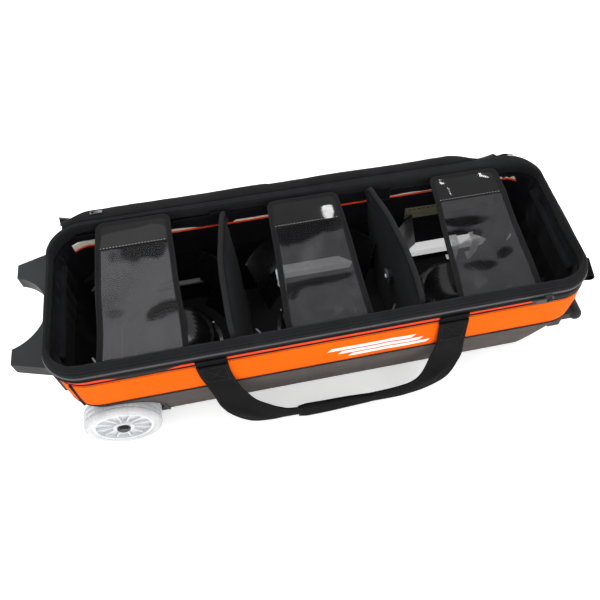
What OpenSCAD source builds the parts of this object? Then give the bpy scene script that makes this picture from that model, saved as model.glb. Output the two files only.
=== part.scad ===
// Three-ball rolling bowling bag, lying on its back with the lid folded open.
// Origin: on the floor under the middle of the base. X runs along the bag, with the
// wheels at -X and the pulling handle at +X. The front wall is at -Y, the lid hinge at +Y.

/* [Body] */
// Length of the body at the rim
body_l = 860; // [840:5:880]
// Width of the body at the rim
body_w = 297; // [294:1:300]
// Height of the rim over the floor
rim_h = 249; // [247:1:252]
// Radius of the body's upright corners
corner_r = 58; // [54:1:60]
// Height of the cord between the bright band and the zipper
seam_hi = 218; // [217:1:219]
// Height of the cord between the bright band and the lower panel
seam_lo = 144; // [143:1:146]
// Height of the tray's underside
base_z = 8; // [8:1:9]
// How far the long sides draw in towards the tray
side_in = 39.5; // [38:0.5:40]
// How far the wheel end draws in towards the tray
left_in = 30; // [26:1:32]
// How far the handle end draws in towards the tray
right_in = 24; // [20:1:26]
// Radius of the sewn cords
piping_r = 2; // [1.5:0.5:2.5]

/* [Walls] */
// Thickness of the outer panels
panel_t = 4; // [3:0.5:4]
// Depth of outer panel and lining together on the long walls
wall_side = 18; // [17:0.5:19]
// Depth of outer panel and lining together on the end walls
wall_end = 9; // [8.5:0.5:12]

/* [Balls] */
// Radius of a bowling ball
ball_r = 108; // [108:0.5:109]
// Distance between neighbouring balls
ball_pitch = 270; // [268:1:272]
// Position along the bag of the middle ball
ball_x = 3; // [0:1:4]
// Height of a ball's centre when it sits in its cup
ball_z = 146; // [145:1:148]
// Outer radius of the curved guards round each ball, at their top edge
guard_r = 139; // [137:0.5:139]
// Height of the top edge of the guards
guard_top = 157; // [150:1:160]

/* [Wheels] */
// Diameter of a wheel
wheel_d = 127; // [125:1:127]
// Width of a tyre
wheel_w = 38; // [34:1:38]
// Position of the wheel axle along the bag
wheel_x = -364; // [-368:1:-362]
// Distance of a wheel's outer face from the middle of the bag
wheel_out = 157.7; // [156:0.1:159]

/* [Pulling handle] */
// Distance of each tube from the middle of the bag
tube_y = 98; // [97:1:99]
// Height of the tubes
tube_z = 74; // [73:1:76]
// Width of the outer tube
tube_w = 20; // [20:1:21]
// Height of the outer tube
tube_h = 16; // [16:1:17]
// Wall of the outer tube
tube_t = 1.2; // [1:0.1:1.2]
// Clearance round each inner stage
tube_gap = 0.4; // [0.3:0.1:0.5]

/* [Lid] */
// Angle by which the lid is folded back from shut
lid_open = 231; // [229:1:231]
// Distance of the lid's fold from the middle of the bag
hinge_y = 160; // [160:1:162]
// Height of the lid's fold
hinge_z = 250; // [250:0.5:251]
// Thickness of the lid
lid_t = 8; // [7:1:9]

/* [Straps] */
// Width of the carry handle webbing
web_w = 49; // [45:1:51]
// Width of a ball strap
strap_w = 136; // [130:1:140]
// Slant of the hanging carry handles away from the wall
carry_slant = 5; // [4:0.5:6]

/* [Hidden] */
$fn = 64;

orange = [1, 0.42, 0.03];
cloth_black = [0.13, 0.13, 0.14];
cloth_grey = [0.33, 0.32, 0.32];
plastic_black = [0.1, 0.1, 0.11];
gloss_black = [0.05, 0.05, 0.06];
silver = [0.75, 0.76, 0.78];
clear_white = [0.88, 0.9, 0.92];
cream = [0.85, 0.8, 0.66];

slab = 0.01;
skirt_z = 242.5;
tape_z = 228;
coil_z = 240;
cord_in = 1;
floor_z = base_z + 12;
board_t = 6;
board_top = floor_z + board_t;
balls = [ball_x - ball_pitch, ball_x, ball_x + ball_pitch];
wheel_r = wheel_d / 2;
well_r = wheel_r + 6.5;
well_in = 112;
liner_t = 3;
hub_r = 50;
axle_r = 4;
bearing_r = 11;
bearing_w = 7;
inner_face = wheel_out - wheel_w;
end_x = body_l / 2 + 1;
bezel_w = 34;
bezel_h = 28;
clamp_xs = [-56, 293, 334];
tube_rivet_xs = [-2, 13];
clamp_l = 15;
clamp_t = 2;

// Share of the draw-in reached at height z: none at the lower seam, all at the tray
function draw_in(z) = (seam_lo - z) / (seam_lo - base_z);
function left_x(z) = -body_l / 2 + left_in * draw_in(z);
function right_x(z) = body_l / 2 - right_in * draw_in(z);
function half_w(z) = body_w / 2 - side_in * draw_in(z);

module both_sides() {
    for (side = [-1, 1]) to_side(side) children();
}

// Children as they are at the far side, mirrored where side is -1
module to_side(side) {
    if (side < 0) mirror([0, 1, 0]) children();
    else children();
}

module round_rect(l, w, r) {
    square([l - 2 * r, w], center = true);
    square([l, w - 2 * r], center = true);
    for (sx = [-1, 1], sy = [-1, 1])
        translate([sx * (l / 2 - r), sy * (w / 2 - r)]) circle(r);
}

// Outline of the body above the lower seam, moved in on its sides and its ends
module outline(side = 0, end = 0) {
    round_rect(body_l - 2 * end, body_w - 2 * side, corner_r - min(side, end));
}

// Upright ring between two insets of the outline
module ring(z0, z1, out, in_side, in_end) {
    translate([0, 0, z0]) linear_extrude(z1 - z0) difference() {
        outline(out, out);
        outline(in_side, in_end);
    }
}

// Outline of the drawn-in body at height z, moved in by off
module low_outline(z, off) {
    translate([(left_x(z) + right_x(z)) / 2, 0])
        round_rect(right_x(z) - left_x(z) - 2 * off, 2 * half_w(z) - 2 * off,
            corner_r - 8 * draw_in(z) - off, $fn = 32);
}

module low_solid(z0, z1, off0, off1) {
    hull() {
        translate([0, 0, z0]) linear_extrude(slab) low_outline(z0, off0);
        translate([0, 0, z1 - slab]) linear_extrude(slab) low_outline(z1, off1);
    }
}

// Round cord along the outline at height z
module cord_ring(z, r, inset) {
    cr = corner_r - inset;
    x = body_l / 2 - corner_r;
    y = body_w / 2 - corner_r;
    translate([0, 0, z]) {
        for (s = [-1, 1]) {
            translate([-x, s * (y + cr), 0]) rotate([0, 90, 0])
                cylinder(h = 2 * x, r = r, $fn = 24);
            translate([s * (x + cr), y, 0]) rotate([90, 0, 0])
                cylinder(h = 2 * y, r = r, $fn = 24);
        }
        for (i = [0:3])
            translate([(i == 0 || i == 3 ? 1 : -1) * x, (i < 2 ? 1 : -1) * y, 0])
                rotate([0, 0, 90 * i])
                    rotate_extrude(angle = 90) translate([cr, 0]) circle(r, $fn = 24);
    }
}

// Space that one wheel turns in, open outwards and at the wheel end
module well(r, depth) {
    both_sides() translate([wheel_x, depth, wheel_r]) rotate([-90, 0, 0]) {
        cylinder(h = 60, r = r);
        translate([-r, 0, 0]) cube([2 * r, wheel_r + 5, 60]);
        translate([-r - 40, -r, 0]) cube([r + 40, r + wheel_r + 5, 60]);
    }
}

// Holes for the two handle tubes and their bezels in the end wall
module tube_holes() {
    both_sides() translate([380, tube_y - bezel_w / 2, tube_z - bezel_h / 2])
        cube([70, bezel_w, bezel_h]);
}

module base_tray() {
    color(plastic_black) difference() {
        translate([0, 0, base_z]) linear_extrude(floor_z - base_z) low_outline(base_z, 0);
        well(well_r, well_in - liner_t);
    }
}

module base_runners() {
    runner_l = 560;
    color(plastic_black) for (y = [-70, 0, 70])
        translate([-160, y, 0]) {
            translate([0, -9, 0]) cube([runner_l, 18, base_z]);
            cylinder(h = base_z, r = 9);
            translate([runner_l, 0, 0]) cylinder(h = base_z, r = 9);
        }
}

module lower_panels() {
    color(cloth_grey) difference() {
        low_solid(floor_z, seam_lo - piping_r, 0, 0);
        translate([0, 0, -slab]) low_solid(floor_z, seam_lo, panel_t, panel_t);
        well(well_r, well_in - liner_t);
        tube_holes();
    }
}

module side_panels() {
    color(orange) ring(seam_lo + piping_r, seam_hi - piping_r, 0, panel_t, panel_t);
}

module lower_piping() {
    color(cloth_black) cord_ring(seam_lo, piping_r, cord_in);
}

module upper_piping() {
    color(cloth_black) cord_ring(seam_hi, piping_r, cord_in);
}

// Upright cords on the two corners of the wheel end
module corner_piping() {
    h = seam_hi - seam_lo - 2 * piping_r - 1;
    color(cloth_black) both_sides()
        translate([-body_l / 2 + corner_r, body_w / 2 - corner_r, seam_lo + piping_r + 0.5])
            rotate([0, 0, 120]) translate([corner_r + 2, 0, 0]) cylinder(h = h, r = 2, $fn = 24);
}

module recess_strip() {
    color([0.95, 0.25, 0.04]) ring(seam_hi + piping_r, tape_z, 2.5, panel_t, panel_t);
}

module zipper_tape() {
    color(cloth_black) ring(tape_z, rim_h - 2, 1, 3, 3);
}

module zipper_coil() {
    coil_r = 1.4;
    color(plastic_black) cord_ring(coil_z, coil_r, 0.95 - coil_r);
}

module rim() {
    color(cloth_black) {
        ring(tape_z, rim_h - 2, 3, wall_side + 2, wall_end - 1);
        ring(rim_h - 2, rim_h, 1.5, wall_side + 2, wall_end - 1);
    }
}

module lining() {
    color(cloth_black) difference() {
        union() {
            ring(seam_lo, tape_z, panel_t, wall_side, wall_end);
            difference() {
                low_solid(board_top, seam_lo, panel_t, panel_t);
                translate([0, 0, -slab]) low_solid(board_top, seam_lo + 1, 10, 15);
            }
        }
        well(well_r, well_in - liner_t);
        tube_holes();
        clamp_rooms();
    }
}

// Room in the lining for the feet of the tube clamps
module clamp_rooms() {
    gap = 0.2;
    both_sides() for (x = clamp_xs)
        translate([x - clamp_l / 2 - gap, tube_y, board_top - 1])
            cube([clamp_l + 2 * gap, tube_w / 2 + clamp_t + gap, 40]);
}

module floor_board() {
    color([0.2, 0.2, 0.2]) difference() {
        translate([0, 0, floor_z]) linear_extrude(board_t) low_outline(floor_z, panel_t + 0.5);
        well(well_r, well_in - liner_t);
    }
}

board_y = body_w / 2 - wall_side;
board_l = body_l - 2 * corner_r;
board_z = 210;
board_h = 12;
board_sheet_t = 3;
binding_r = 2.2;

// Stiff strip along the far wall, just under the rim
module wall_board() {
    color(cream) translate([-board_l / 2, board_y - board_sheet_t, board_z])
        cube([board_l, board_sheet_t, board_h]);
}

module board_binding() {
    color(orange) translate([-board_l / 2, board_y - binding_r - 0.1, board_z - binding_r])
        rotate([0, 90, 0]) cylinder(h = board_l, r = binding_r, $fn = 24);
}

module perforated_strip() {
    strip_x = 194;
    strip_l = body_l / 2 - corner_r - strip_x;
    slot_pitch = 9;
    color(cream) difference() {
        translate([strip_x, board_y - 2, seam_lo - 9]) {
            cube([strip_l, 1.2, 30]);
            translate([0, 0, 10]) cube([strip_l, 2, 20]);
        }
        translate([strip_x - 1, board_y - 3, seam_lo - 0.5]) cube([strip_l + 2, 1.6, 1.2]);
        for (i = [1:18])
            translate([strip_x + slot_pitch * i - 2.2, board_y - 3, seam_lo + 15])
                cube([4.4, 4, 2]);
    }
}

// Padded wall between two balls: narrow at the bottom, where the tubes pass
module divider(x, turn, lean) {
    edge_lo = tube_y - tube_w / 2 - 4;
    color(cloth_black) translate([x, 0, board_top]) rotate([0, lean, turn])
        translate([-7, 0, 0]) rotate([90, 0, 90]) linear_extrude(14)
            polygon([[-edge_lo, 1], [edge_lo, 1], [edge_lo, 66], [108, 66], [122, 118],
                [123, 206], [115, 214], [-115, 214], [-123, 206], [-122, 118], [-108, 66],
                [-edge_lo, 66]]);
}

module divider_left() {
    divider(-132, 0, -2.8);
}

module divider_right() {
    divider(138, 5, 0);
}

// Shallow cup with a dish for the ball, open underneath
module ball_cup(x) {
    dish_r = ball_r + 0.5;
    top_r = 64;
    top_z = 58;
    dish = [for (i = [0:12]) let (r = top_r * i / 12) [r, ball_z - sqrt(dish_r * dish_r - r * r)]];
    under = [for (i = [12:-1:0]) let (r = top_r * i / 12) [r, dish[i][1] - 3.5]];
    color(gloss_black) translate([x, 0, 0]) rotate_extrude($fn = 96)
        polygon(concat(dish, [[70, top_z + 2], [73, top_z], [77, board_top + 4],
            [83, board_top + 4], [83, board_top], [74, board_top], [69, top_z - 4]], under));
}

module ball_cup_left() {
    ball_cup(balls[0]);
}

module ball_cup_middle() {
    ball_cup(balls[1]);
}

module ball_cup_right() {
    ball_cup(balls[2]);
}

module cup_screws() {
    color(silver) for (x = balls, a = [30:60:330])
        translate([x + 80 * cos(a), 80 * sin(a), board_top + 4])
            cylinder(h = 1.6, r = 2, $fn = 24);
}

// Slanting guards in the four corners round each ball, notched where the tubes pass
module side_guards() {
    guard_t = 3;
    foot_r = guard_r - 34;
    from = 29;
    to = 60;
    color(gloss_black) difference() {
        for (x = balls, near = [0, 1], left = [0, 1])
            translate([x, 0, 0]) mirror([left, 0, 0]) mirror([0, near, 0])
                rotate([0, 0, from]) rotate_extrude(angle = to - from, $fn = 96)
                    polygon([[foot_r - guard_t, board_top], [foot_r, board_top],
                        [guard_r, guard_top], [guard_r - guard_t, guard_top]]);
        both_sides() {
            translate([-body_l / 2, tube_y - tube_w / 2 - 3, board_top - 1])
                cube([body_l, 60, tube_z + tube_h / 2 + clamp_t + 4 - board_top]);
            translate([-body_l / 2, well_in - liner_t - 1, board_top - 1]) cube([170, 60, 200]);
        }
    }
}

// Space of the upper body and its cord, with a little clearance
module body_space() {
    translate([0, 0, seam_lo]) linear_extrude(100) outline(-0.2, -0.2);
    translate([0, 0, seam_hi - piping_r - 0.5]) linear_extrude(2 * piping_r + 1)
        outline(-2.4, -2.4);
}

prong_tip = 487;
prong_z = 200;
prong_top = 225;

// Moulded bracket round the wheel end with two feet for standing upright
module foot_bracket() {
    arch_r = 71;
    low_z = seam_lo + piping_r + 1;
    color(plastic_black) difference() {
        union() {
            translate([0, 0, low_z]) linear_extrude(prong_top - low_z)
                intersection() {
                    outline(-6, -6);
                    translate([-body_l / 2 - 10, -112]) square([50, 224]);
                }
            translate([0, 0, prong_z]) linear_extrude(prong_top - prong_z) difference() {
                polygon([[-body_l / 2, -112], [-prong_tip, -94.5], [-prong_tip, 94.5],
                    [-body_l / 2, 112]]);
                translate([-prong_tip - 22, 0]) circle(arch_r);
            }
        }
        body_space();
        both_sides() translate([-body_l / 2 + corner_r, body_w / 2 - corner_r, seam_lo])
            rotate([0, 0, 120]) translate([corner_r + 2, 0, 0]) cylinder(h = 100, r = 2.6);
    }
}

module bracket_screws() {
    color(silver) for (y = [-60, -20, 20, 60])
        translate([-body_l / 2 - 6, y, 172]) rotate([0, -90, 0]) cylinder(h = 2, r = 4, $fn = 24);
}

// Folded webbing loop on the corner of the handle end
module end_tab() {
    tab_r = 7.5;
    tab_t = 2.2;
    tab_l = 11;
    tab_w = 36;
    color(cloth_black) difference() {
        translate([body_l / 2 - corner_r, -body_w / 2 + corner_r, seam_hi - 8])
            rotate([0, 0, -10]) translate([corner_r - 2, tab_w / 2, 0]) rotate([90, 0, 0])
                linear_extrude(tab_w) difference() {
                    union() {
                        square([tab_l, 2 * tab_r]);
                        translate([tab_l, tab_r]) circle(tab_r);
                    }
                    translate([7, tab_t]) square([tab_l - 7, 2 * (tab_r - tab_t)]);
                    translate([tab_l, tab_r]) circle(tab_r - tab_t);
                }
        body_space();
    }
}

module wheel_housings() {
    color(plastic_black) difference() {
        intersection() {
            well(well_r, well_in - liner_t);
            translate([0, 0, 0.2]) low_solid(base_z, seam_lo - piping_r - 0.2, -4, -0.5);
            translate([-420, -200, 0]) cube([130, 400, seam_lo]);
        }
        well(well_r - liner_t, well_in);
    }
}

module wheel_axles() {
    color(silver) both_sides() translate([wheel_x, 0, wheel_r]) rotate([-90, 0, 0]) {
        translate([0, 0, well_in]) cylinder(h = inner_face - well_in - 0.5, r = 8);
        translate([0, 0, well_in]) cylinder(h = wheel_out - well_in - 1, r = axle_r);
    }
}

// One wheel of the near side, with its outer face away from the bag
module at_wheel(side) {
    to_side(side) translate([wheel_x, wheel_out, wheel_r]) rotate([90, 0, 0]) children();
}

// Tyre section: rounded shoulders and three grooves round the tread
module tyre(side) {
    groove = 1.6;
    color(clear_white) at_wheel(side) rotate_extrude($fn = 128) difference() {
        union() {
            translate([hub_r, 4]) square([wheel_r - hub_r, wheel_w - 8]);
            translate([hub_r, 0]) square([wheel_r - hub_r - 4, wheel_w]);
            for (z = [4, wheel_w - 4]) translate([wheel_r - 4, z]) circle(4, $fn = 32);
        }
        for (i = [-1:1])
            translate([wheel_r - 2, wheel_w / 2 + 9 * i - groove / 2]) square([4, groove]);
    }
}

module hub(side) {
    core_r = 17;
    web_t = 6;
    color(clear_white) at_wheel(side) {
        rotate_extrude($fn = 96) difference() {
            union() {
                translate([0, 1]) square([core_r, wheel_w - 2]);
                translate([core_r - 1, 9]) square([hub_r - core_r, web_t]);
                translate([hub_r - 5, 2]) square([5, wheel_w - 4]);
            }
            translate([-1, -1]) square([axle_r + 3, wheel_w + 2]);
            for (z = [-1, wheel_w - bearing_w - 1])
                translate([-1, z]) square([bearing_r + 1.02, bearing_w + 2]);
        }
        for (i = [0:11]) rotate([0, 0, 30 * i])
            translate([core_r - 1, -1.25, 4]) cube([hub_r - core_r - 3, 2.5, 26]);
    }
}

module bearings(side) {
    color(silver) at_wheel(side) for (z = [1, wheel_w - bearing_w - 1])
        translate([0, 0, z]) difference() {
            cylinder(h = bearing_w, r = bearing_r);
            translate([0, 0, -1]) cylinder(h = bearing_w + 2, r = axle_r + 0.05);
        }
}

module hub_cap(side) {
    color(plastic_black) at_wheel(side) rotate([180, 0, 0]) {
        translate([0, 0, -0.8]) cylinder(h = 3, r = 10.8);
        translate([0, 0, 2]) cylinder(h = 2, r = 8);
    }
}

module tyre_near() {
    tyre(-1);
}

module hub_near() {
    hub(-1);
}

module bearings_near() {
    bearings(-1);
}

module hub_cap_near() {
    hub_cap(-1);
}

module tyre_far() {
    tyre(1);
}

module hub_far() {
    hub(1);
}

module bearings_far() {
    bearings(1);
}

module hub_cap_far() {
    hub_cap(1);
}

// Pair of rectangular tubes along X from x0 to x1
module box_tube(x0, x1, w, h, t) {
    both_sides() translate([x0, tube_y, tube_z]) difference() {
        translate([0, -w / 2, -h / 2]) cube([x1 - x0, w, h]);
        translate([-1, -w / 2 + t, -h / 2 + t]) cube([x1 - x0 + 2, w - 2 * t, h - 2 * t]);
    }
}

mid_w = tube_w - 2 * (tube_t + tube_gap);
mid_h = tube_h - 2 * (tube_t + tube_gap);
mid_t = 1;
in_w = mid_w - 2 * (mid_t + tube_gap);
in_h = mid_h - 2 * (mid_t + tube_gap);
tube_start = -64;
collar_l = 7;

module outer_tubes() {
    color(silver) box_tube(tube_start, end_x, tube_w, tube_h, tube_t);
}

module middle_tubes() {
    color(silver) box_tube(tube_start + 20, end_x + 0.5, mid_w, mid_h, mid_t);
}

module middle_collars() {
    color(plastic_black) both_sides() translate([end_x + 0.5, tube_y, tube_z]) difference() {
        translate([0, -11, -9]) cube([collar_l, 22, 18]);
        translate([-1, -in_w / 2 - tube_gap, -in_h / 2 - tube_gap])
            cube([collar_l + 2, in_w + 2 * tube_gap, in_h + 2 * tube_gap]);
    }
}

grip_x = 462;
grip_r = 12;
arm_x = end_x + collar_l + 1;

module inner_tubes() {
    color(silver) box_tube(tube_start + 40, 450, in_w, in_h, 1);
}

module handle_grip() {
    color(plastic_black) difference() {
        union() {
            translate([grip_x, -tube_y - 6, tube_z]) rotate([-90, 0, 0])
                cylinder(h = 2 * tube_y + 12, r = grip_r);
            both_sides() {
                translate([grip_x, tube_y + 6, tube_z]) sphere(grip_r);
                translate([arm_x, tube_y - 11, tube_z - 9]) cube([grip_x - arm_x, 22, 18]);
            }
        }
        both_sides() translate([arm_x - 1, tube_y - in_w / 2 - 0.02, tube_z - in_h / 2 - 0.02])
            cube([451 - arm_x, in_w + 0.04, in_h + 0.04]);
        translate([449, -tube_y - 3, tube_z - 4]) cube([17, 2 * tube_y + 6, 8]);
        translate([462, -17, tube_z - 4]) cube([20, 34, 8]);
    }
}

module release_button() {
    color([0.6, 0.6, 0.62]) {
        translate([457, -16.5, tube_z - 3.6]) cube([15.5, 33, 7.2]);
        translate([472.5, -16.5, tube_z]) rotate([-90, 0, 0]) cylinder(h = 33, r = 3.6);
        translate([457, -tube_y - 2.5, tube_z - 3]) cube([4, 2 * tube_y + 5, 6]);
    }
}

module push_rods() {
    rod_start = tube_start + 60;
    color(silver) both_sides() translate([rod_start, tube_y, tube_z]) rotate([0, 90, 0])
        cylinder(h = 457 - rod_start, r = 2, $fn = 24);
}

// Bright saddles that hold the tubes down on the floor board
module tube_clamps() {
    foot_h = tube_z - tube_h / 2 - board_top;
    color(silver) both_sides() for (x = clamp_xs)
        translate([x - clamp_l / 2, tube_y, 0]) difference() {
            translate([0, -tube_w / 2 - clamp_t, board_top])
                cube([clamp_l, tube_w + 2 * clamp_t, foot_h + tube_h + clamp_t]);
            translate([-1, -tube_w / 2, board_top + foot_h]) cube([clamp_l + 2, tube_w, tube_h]);
            translate([-1, -tube_w / 2, board_top + clamp_t])
                cube([clamp_l + 2, tube_w, foot_h - 2 * clamp_t]);
        }
}

// Rivets on the saddles and two straight on each tube
module clamp_rivets() {
    tube_top = tube_z + tube_h / 2;
    color(silver) both_sides() {
        for (x = clamp_xs) translate([x, tube_y, tube_top + clamp_t]) rivet_head();
        for (x = tube_rivet_xs) translate([x, tube_y, tube_top]) rivet_head();
    }
}

module rivet_head() {
    cylinder(h = 1.5, r = 3, $fn = 24);
}

module handle_bezels() {
    color(plastic_black) both_sides() difference() {
        translate([408, tube_y - bezel_w / 2, tube_z - bezel_h / 2])
            cube([end_x - 409, bezel_w, bezel_h]);
        translate([400, tube_y - tube_w / 2, tube_z - tube_h / 2]) cube([40, tube_w, tube_h]);
    }
}

// Turns the shut lid back about its fold
module open_lid() {
    translate([0, hinge_y, hinge_z]) rotate([-lid_open, 0, 0])
        translate([0, -hinge_y, -hinge_z]) children();
}

lid_z = hinge_z + 3;
lid_in = cord_in + piping_r + 0.05;
fold_l = body_l - 2 * corner_r;

// Lid board with the strip of cloth that it folds on
module lid_panel() {
    color(cloth_black) open_lid() translate([0, 0, lid_z]) {
        translate([0, 0, 2]) linear_extrude(lid_t - 2) outline(lid_in, lid_in);
        translate([-fold_l / 2, body_w / 2 - lid_in - 1, 2])
            cube([fold_l, hinge_y + 1 - body_w / 2, 3]);
    }
}

module lid_lining() {
    color(cloth_black) open_lid() translate([0, 0, lid_z]) linear_extrude(2)
        outline(lid_in, lid_in);
}

module lid_pocket() {
    pocket_t = 14;
    color(cloth_black) open_lid() translate([0, -4, lid_z + lid_t]) linear_extrude(pocket_t)
        round_rect(740, 210, 26);
}

// Cord round the lid, open along the fold
module lid_piping() {
    color(cloth_black) open_lid() difference() {
        cord_ring(lid_z + lid_t / 2, piping_r, cord_in);
        translate([-fold_l / 2 - 0.5, body_w / 2 - 10, lid_z]) cube([fold_l + 1, 20, lid_t]);
    }
}

module lid_zipper_tape() {
    color(cloth_black) open_lid() difference() {
        ring(skirt_z, lid_z + lid_t / 2 - piping_r, -2.2, -0.6, -0.6);
        translate([-500, body_w / 2 - corner_r, 0]) cube([1000, 100, 400]);
    }
}

carry_top = 216;
carry_y = body_w / 2 + 4.5;
carry_t = 3;

// Flat outline of a carry handle: two legs that run into a lower, narrower grip
module carry_outline() {
    top = 0;
    low = -205;
    polygon([[-215, top], [-215 + web_w, top], [-161, -55], [-149, -92], [-120, -139],
        [-78, -176], [78, -176], [120, -171], [142, -160], [158, -120], [168, -60],
        [217 - web_w, top], [217, top], [217, -110], [200, -165], [165, -196], [124, low],
        [-124, low], [-154, -198], [-195, -131], [-208, -52]]);
}

module carry_frame(side) {
    to_side(side) translate([0, carry_y, carry_top]) rotate([carry_slant, 0, 0]) children();
}

module carry_handle(side) {
    color(cloth_black) carry_frame(side) translate([0, carry_t / 2, 0]) rotate([90, 0, 0])
        linear_extrude(carry_t) carry_outline();
}

module grip_wrap(side) {
    color(cloth_black) carry_frame(side)
        for (y = [-carry_t / 2 - 2, carry_t / 2]) translate([-70, y, -205]) cube([140, 2, 29]);
}

module carry_handle_near() {
    carry_handle(-1);
}

module grip_wrap_near() {
    grip_wrap(-1);
}

module carry_handle_far() {
    carry_handle(1);
}

module grip_wrap_far() {
    grip_wrap(1);
}

strap_y = -body_w / 2 + 26;
strap_z = 229;

// Clear strap with a bound edge: from under the near rim to a tab, which spans the two
// distances in tab, at the far rim
module ball_strap(x, tab) {
    t = 1.2;
    tab_z = [rim_h + 0.6, rim_h + 0.6 + 2 * t];
    color(cloth_black) translate([x - strap_w / 2, 0, 0]) rotate([90, 0, 90])
        linear_extrude(strap_w)
            polygon([[strap_y + 1, strap_z - t], [strap_y + 1, strap_z + t], [tab[0], tab_z[1]],
                [tab[1], tab_z[1]], [tab[1], tab_z[0]], [tab[0], tab_z[0]]]);
}

module ball_strap_left() {
    ball_strap(-291, [74, 134]);
}

module ball_strap_middle() {
    ball_strap(-1, [62, 126]);
}

module ball_strap_right() {
    ball_strap(283, [60, 122]);
}

slider_x = 344;
slider_y = -body_w / 2 - 2.4;
slider_z = 233;
slider_h = 9;
bail_h = 4;
pull_y = slider_y - 7.1;
pull_z = slider_z + slider_h / 2;
metal_grey = [0.35, 0.35, 0.36];

// Slider with a bail that the pull hangs in
module zipper_slider() {
    bail_z = (slider_h - bail_h) / 2;
    color(metal_grey) translate([slider_x, slider_y, slider_z]) {
        translate([-7, -5, 0]) cube([14, 5, slider_h]);
        for (x = [-4, 2.2]) translate([x, -9, bail_z]) cube([1.8, 4, bail_h]);
        translate([-4, -10.5, bail_z]) cube([8, 1.5, bail_h]);
    }
}

// Pull: a pin through the bail, two arms and a plate with a hole, flat along the zipper
module zipper_pull() {
    arm_l = 6;
    pull_l = 30;
    pull_h = 10;
    pull_t = 1.8;
    color(metal_grey) translate([slider_x, pull_y, pull_z]) {
        translate([0, 0, -pull_h / 2]) cylinder(h = pull_h, r = pull_t / 2, $fn = 24);
        for (z = [-pull_h / 2, pull_h / 2 - 2.4])
            translate([-arm_l - 1, -pull_t / 2, z]) cube([arm_l + 1, pull_t, 2.4]);
        difference() {
            translate([-pull_l, -pull_t / 2, -pull_h / 2]) cube([pull_l - arm_l, pull_t, pull_h]);
            translate([-pull_l + 4.5, 2, 0]) rotate([90, 0, 0]) cylinder(h = 4, r = 2.5, $fn = 24);
        }
    }
}

base_tray();
base_runners();
lower_panels();
lower_piping();
side_panels();
corner_piping();
upper_piping();
recess_strip();
zipper_tape();
zipper_coil();
rim();
lining();
floor_board();
wall_board();
board_binding();
perforated_strip();
divider_left();
divider_right();
ball_cup_left();
ball_cup_middle();
ball_cup_right();
cup_screws();
side_guards();
foot_bracket();
bracket_screws();
end_tab();
wheel_housings();
wheel_axles();
outer_tubes();
tube_clamps();
clamp_rivets();
handle_bezels();
tyre_near();
hub_near();
bearings_near();
hub_cap_near();
tyre_far();
hub_far();
bearings_far();
hub_cap_far();
middle_tubes();
middle_collars();
inner_tubes();
handle_grip();
release_button();
push_rods();
lid_panel();
lid_lining();
lid_pocket();
lid_piping();
lid_zipper_tape();
carry_handle_near();
grip_wrap_near();
carry_handle_far();
grip_wrap_far();
ball_strap_left();
ball_strap_middle();
ball_strap_right();
zipper_slider();
zipper_pull();
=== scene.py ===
"""Looks of the three-ball rolling bag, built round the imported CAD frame. Lengths are in metres."""
from math import atan2, cos, exp, hypot, pi, radians, sin, sqrt

import bmesh
import bpy
from mathutils import Matrix, Vector, noise


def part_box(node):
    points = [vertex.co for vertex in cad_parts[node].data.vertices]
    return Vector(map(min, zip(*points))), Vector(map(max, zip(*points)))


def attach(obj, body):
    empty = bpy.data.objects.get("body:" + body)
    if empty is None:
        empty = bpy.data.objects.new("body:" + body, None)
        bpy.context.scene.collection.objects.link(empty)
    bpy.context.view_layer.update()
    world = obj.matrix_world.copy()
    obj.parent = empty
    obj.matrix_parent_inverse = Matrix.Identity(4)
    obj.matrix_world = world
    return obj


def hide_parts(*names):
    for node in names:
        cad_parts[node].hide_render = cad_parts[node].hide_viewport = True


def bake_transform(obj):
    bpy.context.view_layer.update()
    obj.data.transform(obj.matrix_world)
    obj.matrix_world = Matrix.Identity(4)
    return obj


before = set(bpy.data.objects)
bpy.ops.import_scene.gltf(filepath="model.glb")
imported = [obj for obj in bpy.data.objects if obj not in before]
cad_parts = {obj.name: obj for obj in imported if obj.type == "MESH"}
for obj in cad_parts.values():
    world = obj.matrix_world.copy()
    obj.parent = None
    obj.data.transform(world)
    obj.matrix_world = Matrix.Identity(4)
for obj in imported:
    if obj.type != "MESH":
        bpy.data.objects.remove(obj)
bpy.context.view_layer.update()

MM = 0.001

# ---------------------------------------------------------------- sizes from the frame
band_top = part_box("side_panels")[1]
tray_lo, tray_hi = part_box("base_tray")
rim_lo, rim_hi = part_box("rim")
cord_lo, cord_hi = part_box("upper_piping")
HALF_L, HALF_W = band_top.x, band_top.y
RIM_TOP, TAPE_LOW = rim_hi.z, rim_lo.z
SEAM_HIGH, SEAM_LOW, COIL_Z = (sum(corner.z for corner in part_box(node)) / 2
                               for node in ("upper_piping", "lower_piping", "zipper_coil"))
BASE_Z, FLOOR_Z = tray_lo.z, tray_hi.z
BOARD_Z = FLOOR_Z + 6 * MM
CORNER_R = 58 * MM
CORD_R = (cord_hi.z - cord_lo.z) / 2
# The bright band runs between the two cords, and its inner face lies SHEET_IN inside the outline
BAND_LOW, BAND_HIGH = SEAM_LOW + CORD_R * 0.8, SEAM_HIGH - CORD_R * 0.8
BAND_PUFF, BAND_WRINKLE = 1.6 * MM, 1.1 * MM
SHEET_IN = -4 * MM
STRAP_START = -121.5 * MM
STRAP_HALF = 66 * MM
UP = Vector((0, 0, 1))

WORLD_LIGHT = 1.15
FLOOR_GLOW = 0.4
GLINT_POWER = 420  # watts per square metre


# ---------------------------------------------------------------- camera, lights, floor
def add_to_scene(obj):
    bpy.context.scene.collection.objects.link(obj)


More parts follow.
